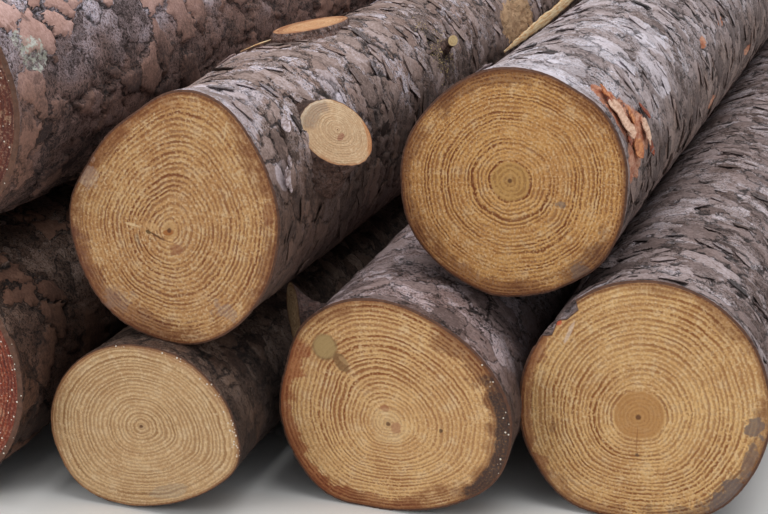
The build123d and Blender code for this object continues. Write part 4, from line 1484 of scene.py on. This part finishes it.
crown_wood = sawn_wood(
    "wood_crown_cut", tint(206, 158, 112), tint(150, 92, 52), tint(176, 104, 54), tint(132, 74, 42),
    10, 1.0, 0.45, 37, stain_from=0.75, stain_share=0.7, contrast=0.6,
)
dull_wood = sawn_wood(
    "wood_prop", tint(180, 150, 112), tint(112, 84, 56), tint(140, 92, 56), tint(110, 66, 40),
    10, 1.0, 0.45, 41, stain_from=0.8, stain_share=0.6,
)
twig_wood = sawn_wood(
    "wood_twig", tint(212, 188, 140), tint(160, 130, 86), tint(190, 150, 96), tint(150, 110, 70),
    5, 1.0, 0.45, 43, stain_from=0.95, stain_share=0.5, contrast=0.5,
)
grey, dark = "grey_bark", "dark_bark"
branch_stub(
    "top_log_2_flank_stub", "top_log_2", 0.179, 31.0, (0.031, 0.050), 0.028, (42.0, 0.78), 1.55,
    dict(
        seed=5, fold=0.007, wrinkle=0.05, bark=fold_bark, wood=flank_wood, slot=grey,
        trim=(135.0, 75.0, 0.13),
    ),
    (0.0, 0.004),
)
branch_stub(
    "top_log_2_crown_cut", "top_log_2", 0.524, 96.0, (0.093, 0.039), 0.007, (97.5, -0.04), 1.35,
    dict(seed=6, fold=0.009, wrinkle=0.03, bark=fold_bark, wood=crown_wood, slot=grey),
)
branch_stub(
    "top_log_2_twig_stub", "top_log_2", 0.776, 40.0, (0.011, 0.0085), 0.015, (30.0, 0.45), 1.55,
    dict(seed=8, fold=0.004, wrinkle=0.05, bark=fold_bark, wood=twig_wood, slot=grey),
)
branch_stub(
    "bottom_log_3_prop_stub", "bottom_log_3", 0.042, 144.0, (0.0235, 0.0245), None, (175.0, 0.79),
    1.55,
    dict(seed=9, fold=0.010, wrinkle=0.06, bark=prop_bark, wood=dull_wood, slot=dark),
)

# %% [markdown]
# ## Torn slivers
# Two long slivers are torn loose: a pale one that stands off the right side of the middle top
# log, and a thin one at the edge of the flat cut on its crown. Each follows a few points on the
# bark, given by the place along the log, the angle, the width and the gap under it. The
# cross-section is a flat lens, and it swells and thins along the way.

# %% Making a sliver
sliver_rings = 60  # cross-sections along a sliver


def sliver(name, log, path, material, seed):
    """path is a list of (along, angle in degrees, width in mm, gap under it in mm)."""
    stem = stems[log]
    rng = np.random.default_rng(seed)
    given = np.array(path, float)
    steps = np.linspace(0, len(path) - 1, sliver_rings)
    along, angle, width, gap = (np.interp(steps, range(len(path)), given[:, i]) for i in range(4))
    uneven = np.interp(steps * 6, range(sliver_rings), rng.random(sliver_rings))
    width = width * (0.8 + 0.4 * uneven) / 1000
    sides = 8
    points = []
    for i in range(sliver_rings):
        base = stem.point(along[i], radians(angle[i]))
        out = outwards_at(radians(angle[i]))
        across = out.cross(Vector((0, 1, 0)))
        middle = base + out * (gap[i] / 1000 + 0.0012)
        for k in range(sides):
            turn = 2 * pi * k / sides
            thick = width[i] * 0.16 * sin(turn) + 0.0003 * rng.random()
            lens = across * (width[i] / 2 * cos(turn)) + out * thick
            points.append(tuple(middle + lens))
    faces = []
    for i in range(sliver_rings - 1):
        for k in range(sides):
            a, b = i * sides + k, i * sides + (k + 1) % sides
            faces.append((a, b, b + sides, a + sides))
    faces.append(tuple(range(sides)))
    faces.append(tuple((sliver_rings - 1) * sides + k for k in range(sides)))
    mesh = bpy.data.meshes.new(name)
    mesh.from_pydata(points, [], faces)
    face_outwards(mesh)
    mesh.materials.append(material)
    piece = add_object(name, mesh)
    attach(piece, "root")
    print(name, "triangles", triangles(mesh))


def split_wood(name, cream, orange):
    """Freshly split wood: cream with orange fibres along the log."""
    material, tree, shader, here = new_material(name)
    fibres = noise(
        tree, vectors(tree, "MULTIPLY", here, (420.0, 30.0, 420.0)), 1.0, 4.0, 0.6
    )["Fac"]
    colour = blend(tree, spread(tree, fibres, 0.38, 0.66), cream, orange)
    fill(tree, shader.inputs["Base Color"], colour)
    fill(tree, shader.inputs["Roughness"], spread(tree, fibres, 0.3, 0.7, 0.6, 0.8))
    emboss(tree, shader, 0.8, 0.0006, fibres)
    return material


fresh_split = split_wood("wood_split_fresh", tint(226, 204, 164), tint(196, 144, 92))
sliver(
    "top_log_2_long_sliver", "top_log_2",
    [(1.08, 16.0, 4, 1), (1.14, 17.5, 10, 5), (1.22, 19.0, 15, 9), (1.32, 20.5, 20, 12),
     (1.42, 21.5, 22, 12), (1.54, 23.5, 22, 10), (1.66, 25.0, 14, 6), (1.74, 26.0, 4, 1)],
    fresh_split, 51,
)
sliver(
    "top_log_2_crown_sliver", "top_log_2",
    [
        (0.395, 118, 2, 15), (0.43, 115, 7, 13), (0.47, 110, 10, 8), (0.52, 105, 10, 4),
        (0.60, 102, 4, 2),
    ],
    fresh_split, 53,
)

# %% [markdown]
# ## Torn flakes
# In the wound of the right top log, inner bark hangs in torn plates: cream and pink ones in the
# middle, orange and red-brown ones around them. The middle top log has a few pale plates that
# curl off beside its saw cut. Each flake is a thin ragged plate, bent to its log.

# %% Making torn flakes
flake_colours = {
    "cream": (tint(228, 192, 166), tint(188, 142, 116)),
    "orange": (tint(214, 146, 96), tint(164, 92, 54)),
    "red": (tint(168, 86, 56), tint(108, 54, 38)),
    "grey": (tint(204, 190, 194), tint(142, 122, 118)),
}
flake_thickness = 1.3  # mm
bend_radius = 0.165  # turns a distance across a flake into an angle around its log


def flake_wood(name, light, dark):
    """Torn inner bark, streaked along the log."""
    material, tree, shader, here = new_material(name)
    fibres = noise(
        tree, vectors(tree, "MULTIPLY", here, (260.0, 60.0, 260.0)), 1.0, 4.0, 0.65
    )["Fac"]
    fill(
        tree, shader.inputs["Base Color"],
        blend(tree, spread(tree, fibres, 0.35, 0.65), dark, light),
    )
    fill(tree, shader.inputs["Roughness"], spread(tree, fibres, 0.3, 0.7, 0.7, 0.9))
    emboss(tree, shader, 1.0, 0.0008, fibres)
    return material


flake_material = {key: flake_wood("flake_" + key, *pair) for key, pair in flake_colours.items()}


def torn_flakes(name, log, kind, flakes, seed):
    """A piece made of ragged plates that are bent to the log.

    flakes are (along, angle, half length, half width, turn, gap, lift): along in metres, the
    angle and the turn in degrees, the others in mm.
    """
    stem = stems[log]
    rng = np.random.default_rng(seed)
    corners, rings = 20, (1.0, 0.72, 0.4)
    points, faces = [], []
    for along, degrees, half_length, half_width, turned, gap, lift in flakes:
        turns = np.arange(corners) * 2 * pi / corners
        reach = 0.55 + 0.6 * rng.random(corners)
        reach = (2 * reach + np.roll(reach, 1)) / 3 + 0.1 * rng.random(corners)
        tilt = rng.random() * 2 * pi
        start = len(points)
        for side in (1.0, 0.0):
            for ring in rings:
                u = half_length / 1000 * reach * ring * np.cos(turns)
                v = half_width / 1000 * reach * ring * np.sin(turns)
                y = u * cos(radians(turned)) - v * sin(radians(turned))
                x = u * sin(radians(turned)) + v * cos(radians(turned))
                for k in range(corners):
                    at = max(along + float(y[k]), 0.001)
                    angle = radians(degrees) + float(x[k]) / bend_radius
                    curl = lift * ring**2 * (0.5 + 0.5 * cos(turns[k] - tilt))
                    rise = gap + curl + flake_thickness * side
                    points.append(tuple(stem.point(at, angle) + outwards_at(angle) * (rise / 1000)))
        last = corners * len(rings)
        for layer, flip in ((start, False), (start + last, True)):
            for r in range(len(rings) - 1):
                for k in range(corners):
                    a, b = layer + r * corners + k, layer + r * corners + (k + 1) % corners
                    quad = (a, b, b + corners, a + corners)
                    faces.append(quad[::-1] if flip else quad)
            inner = [layer + (len(rings) - 1) * corners + k for k in range(corners)]
            faces.append(tuple(inner[::-1] if flip else inner))
        for k in range(corners):
            j = (k + 1) % corners
            faces.append((start + j, start + k, start + last + k, start + last + j))
    mesh = bpy.data.meshes.new(name)
    mesh.from_pydata(points, [], faces)
    face_outwards(mesh)
    mesh.materials.append(flake_material[kind])
    piece = add_object(name, mesh)
    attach(piece, "root")
    print(name, "triangles", triangles(mesh))


torn_flakes("top_log_3_cream_flakes", "top_log_3", "cream", [
    (0.066, 36.0, 27, 29, 14, -1.0, 4), (0.072, 28.5, 16, 12, 0, -1.5, 3),
    (0.152, 22.0, 18, 23, -10, -1.5, 3),
], 61)
torn_flakes("top_log_3_orange_flakes", "top_log_3", "orange", [
    (0.086, 17.0, 17, 17, 10, -1.5, 3), (0.070, 50.5, 15, 12, 20, -1.0, 5),
    (0.110, 33.0, 9, 14, 0, -2.0, 2),
], 62)
torn_flakes("top_log_3_red_flakes", "top_log_3", "red", [
    (0.054, 24.5, 9, 9, 0, -2.0, 2), (0.160, 11.0, 8, 12, 0, -1.5, 3),
    (0.182, 29.5, 7, 15, 30, -2.0, 2),
    (0.058, 46.0, 6, 8, 0, -1.0, 3),
], 63)
torn_flakes("top_log_2_pale_flakes", "top_log_2", "grey", [
    (0.043, 25.0, 15, 13, 10, -3.0, 7), (0.062, 31.0, 9, 8, 40, -3.0, 5),
    (0.095, 46.0, 14, 8, 30, -3.0, 4),
    (0.050, 19.0, 8, 7, -20, -3.0, 4),
], 64)

# %% [markdown]
# ## Scattering small things with Geometry Nodes
# Loose scales, beads of resin and crumbs of sawdust all lie on a surface in a random way. One
# node tree does this for all of them: points are spread over the faces, denser where a named
# attribute of the mesh is high, a small shape is set on every point, turned to the surface and
# given a random size, and the instances are made real. The small shapes have few faces.

# %% The scatter tree
def scatter_tree():
    """Sets a small shape on random points, where a named attribute of the mesh is high."""
    tree = bpy.data.node_groups.new("Scatter on a surface", "GeometryNodeTree")
    given, result = sockets(
        tree,
        [
            ("Geometry", "NodeSocketGeometry", None),
            ("Shape", "NodeSocketObject", None),
            ("Where", "NodeSocketString", "flaky"),
            ("Density", "NodeSocketFloat", 100.0),
            ("Smallest", "NodeSocketFloat", 0.5),
            ("Largest", "NodeSocketFloat", 1.5),
            ("Tilt", "NodeSocketFloat", 0.2),
            ("Turn", "NodeSocketFloat", 3.14),
            ("Seed", "NodeSocketInt", 1),
            ("Material", "NodeSocketMaterial", None),
        ],
        [("Geometry", "NodeSocketGeometry")],
    )
    where = place(
        tree, "GeometryNodeInputNamedAttribute", {"data_type": "FLOAT"}, Name=given["Where"]
    ).outputs[0]
    points = place(
        tree, "GeometryNodeDistributePointsOnFaces", Mesh=given["Geometry"],
        Density=maths(tree, "MULTIPLY", where, given["Density"]), Seed=given["Seed"],
    )
    back = maths(tree, "MULTIPLY", given["Tilt"], -1.0)
    unturn = maths(tree, "MULTIPLY", given["Turn"], -1.0)
    high = place(
        tree, "ShaderNodeCombineXYZ", X=given["Tilt"], Y=given["Tilt"], Z=given["Turn"]
    ).outputs[0]
    low = place(tree, "ShaderNodeCombineXYZ", X=back, Y=back, Z=unturn).outputs[0]
    chance = place(
        tree, "FunctionNodeRandomValue", {"data_type": "FLOAT_VECTOR"}, Seed=given["Seed"]
    )
    tree.links.new(low, chance.inputs[0])
    tree.links.new(high, chance.inputs[1])
    extra = place(tree, "FunctionNodeEulerToRotation", Euler=chance.outputs[0]).outputs[0]
    upright = place(
        tree, "FunctionNodeAlignRotationToVector", {"axis": "Y", "pivot_axis": "Z"},
        Rotation=points.outputs["Rotation"], Vector=(0.0, 1.0, 0.0),
    ).outputs[0]
    turned = place(
        tree, "FunctionNodeRotateRotation", {"rotation_space": "LOCAL"},
        Rotation=upright, Rotate_By=extra,
    ).outputs[0]
    size = place(tree, "FunctionNodeRandomValue", {"data_type": "FLOAT"}, Seed=given["Seed"])
    tree.links.new(given["Smallest"], size.inputs[2])
    tree.links.new(given["Largest"], size.inputs[3])
    shape = place(tree, "GeometryNodeObjectInfo", Object=given["Shape"]).outputs["Geometry"]
    set_down = place(
        tree, "GeometryNodeInstanceOnPoints", Points=points.outputs["Points"], Instance=shape,
        Rotation=turned, Scale=size.outputs[1],
    ).outputs[0]
    draw = place(tree, "FunctionNodeRandomValue", {"data_type": "FLOAT_VECTOR"}, Seed=given["Seed"])
    store = place(
        tree, "GeometryNodeStoreNamedAttribute",
        {"data_type": "FLOAT_VECTOR", "domain": "INSTANCE"},
        Geometry=set_down, Name="skin",
    )
    tree.links.new(draw.outputs[0], store.inputs["Value"])
    real = place(tree, "GeometryNodeRealizeInstances", Geometry=store.outputs[0]).outputs[0]
    done = place(tree, "GeometryNodeSetMaterial", Geometry=real, Material=given["Material"])
    tree.links.new(done.outputs[0], result["Geometry"])
    return tree


scatter = scatter_tree()
print("scatter:", len(scatter.nodes), "nodes")

# %% [markdown]
# A loose scale of bark is a thin curled plate with a ragged outline. A bead of resin is a
# flattened drop. A crumb of sawdust is a small splinter.

# %% The small shapes
def shape_object(name, points, faces):
    """A small shape that isn't in the scene itself, for the scatter tree to set down."""
    mesh = bpy.data.meshes.new(name)
    mesh.from_pydata(points, [], faces)
    face_outwards(mesh)
    return bpy.data.objects.new(name, mesh)


def scale_shape(seed):
    """A ragged plate about 26 mm across and 16 mm along, bent to the log, with one edge lifted."""
    rng = np.random.default_rng(seed)
    corners = 15
    turns = np.arange(corners) * 2 * pi / corners
    reach = 0.7 + 0.5 * rng.random(corners)
    x, y = 0.013 * reach * np.cos(turns), 0.008 * reach * np.sin(turns)
    lift = 0.0012 - x**2 / 0.3 + 0.12 * np.maximum(-y, 0)
    top = np.stack([x, y, lift], -1)
    below = np.stack([x * 0.97, y * 0.97, lift - 0.0008], -1)
    points = np.concatenate([top, below, [[0, 0, 0.0014]], [[0, 0, -0.001]]]).tolist()
    faces = []
    for i in range(corners):
        j = (i + 1) % corners
        faces += [(i, j, 2 * corners), (j + corners, i + corners, 2 * corners + 1)]
        faces.append((i, i + corners, j + corners, j))
    return shape_object("scale_shape", points, faces)


def drop_shape():
    """A low drop, 1 mm across."""
    drop = bmesh.new()
    bmesh.ops.create_icosphere(drop, subdivisions=2, radius=0.0005)
    bmesh.ops.scale(drop, vec=(1.0, 1.0, 0.6), verts=drop.verts)
    mesh = bpy.data.meshes.new("drop_shape")
    drop.to_mesh(mesh)
    drop.free()
    mesh.polygons.foreach_set("use_smooth", [True] * len(mesh.polygons))
    return bpy.data.objects.new("drop_shape", mesh)


def crumb_shape():
    """A crumb 2 mm long."""
    points = [
        (-0.001, 0, 0), (-0.0003, 0.0004, 0.0001), (0.0008, 0.0003, 0.0002), (0.001, 0, 0.0003),
        (0.0004, -0.0004, 0.0001), (-0.0006, -0.0003, 0), (0.0001, 0, 0.0007), (0, 0, -0.0003),
    ]
    faces = []
    for i in range(6):
        faces += [(i, (i + 1) % 6, 6), ((i + 1) % 6, i, 7)]
    return shape_object("crumb_shape", points, faces)


def scattered(name, log, shape, material, **values):
    """A piece made of small shapes that lie on a finished log."""
    base = logs[log].data.copy()
    values = {"Shape": shape, "Material": material, **values}
    mesh = run_tree(base, scatter, values, name + "_carrier")
    mesh.materials.clear()
    mesh.materials.append(material)
    piece = add_object(name, mesh)
    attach(piece, "root")
    print(name, "triangles", triangles(mesh))


def speckled(name, scale, first, second, smoothest, roughest):
    """A material for small things, in which two colours mix at random."""
    material, tree, shader, here = new_material(name)
    mixed = noise(tree, here, scale, 2.0)["Fac"]
    fill(tree, shader.inputs["Base Color"], blend(tree, mixed, first, second))
    fill(tree, shader.inputs["Roughness"], spread(tree, mixed, 0.3, 0.7, smoothest, roughest))
    return material


resin_material = speckled("resin", 900.0, tint(236, 232, 224), tint(214, 196, 168), 0.15, 0.4)
dust_material = speckled("sawdust", 400.0, tint(226, 208, 150), tint(190, 160, 100), 0.85, 0.95)
small_scale, drop, crumb = scale_shape(4), drop_shape(), crumb_shape()
for name, seed in (("top_log_2", 5), ("top_log_3", 6), ("bottom_log_4", 7)):
    scattered(
        name + "_scales", name, small_scale, bark_material[name], Where="flaky", Density=330.0,
        Smallest=0.45, Largest=1.5, Tilt=0.07, Turn=0.7, Seed=seed,
    )
scattered(
    "top_log_2_sawdust", "top_log_2", crumb, dust_material, Where="dusty", Density=30000.0,
    Smallest=0.6, Largest=1.9, Tilt=0.8, Seed=7,
)
for name, density in (
    ("bottom_log_2", 26000.0), ("bottom_log_3", 9000.0), ("top_log_1", 5000.0),
    ("bottom_log_1", 9000.0),
):
    scattered(
        name + "_resin", name, drop, resin_material, Where="resin", Density=density,
        Smallest=0.7, Largest=2.8, Tilt=0.1, Seed=9,
    )

# %% [markdown]
# ## Floor, walls of light and the end
# The studio is a pale floor, a wide soft lamp above and a smaller one at the left front, and an
# even pale world that fills the shadows.

# %% The studio
floor_material = bpy.data.materials.new("studio_floor")
floor_material.use_nodes = True
plain = floor_material.node_tree.nodes["Principled BSDF"].inputs
plain["Base Color"].default_value = tint(232, 230, 226)
plain["Roughness"].default_value = 0.9
floor_mesh = bpy.data.meshes.new("floor")
edge = 30.0  # half the floor's width
floor_mesh.from_pydata(
    [(-edge, -edge, 0.0), (edge, -edge, 0.0), (edge, edge, 0.0), (-edge, edge, 0.0)],
    [], [(0, 1, 2, 3)],
)
floor_mesh.materials.append(floor_material)
floor = add_object("floor", floor_mesh)


def soft_lamp(name, place_at, aim, size, power):
    """A square lamp that looks at a point."""
    data = bpy.data.lights.new(name, "AREA")
    data.shape = "SQUARE"
    data.size = size
    data.energy = power
    lamp = add_object(name, data)
    lamp.location = place_at
    lamp.rotation_mode = "QUATERNION"
    lamp.rotation_quaternion = (Vector(aim) - Vector(place_at)).to_track_quat("-Z", "Y")
    print(name, "lamp:", power, "watts")


soft_lamp("overhead", (0.6, -0.6, 4.2), (0.0, -0.2, 0.3), 3.5, 130.0)
soft_lamp("front_left", (-2.4, -5.2, 2.6), (0.0, -0.8, 0.4), 2.4, 70.0)

world = bpy.data.worlds.new("studio")
world.use_nodes = True
background = world.node_tree.nodes["Background"]
background.inputs["Color"].default_value = (0.92, 0.95, 1.0, 1.0)
background.inputs["Strength"].default_value = 0.5
bpy.context.scene.world = world
bpy.context.scene.view_settings.view_transform = "Standard"
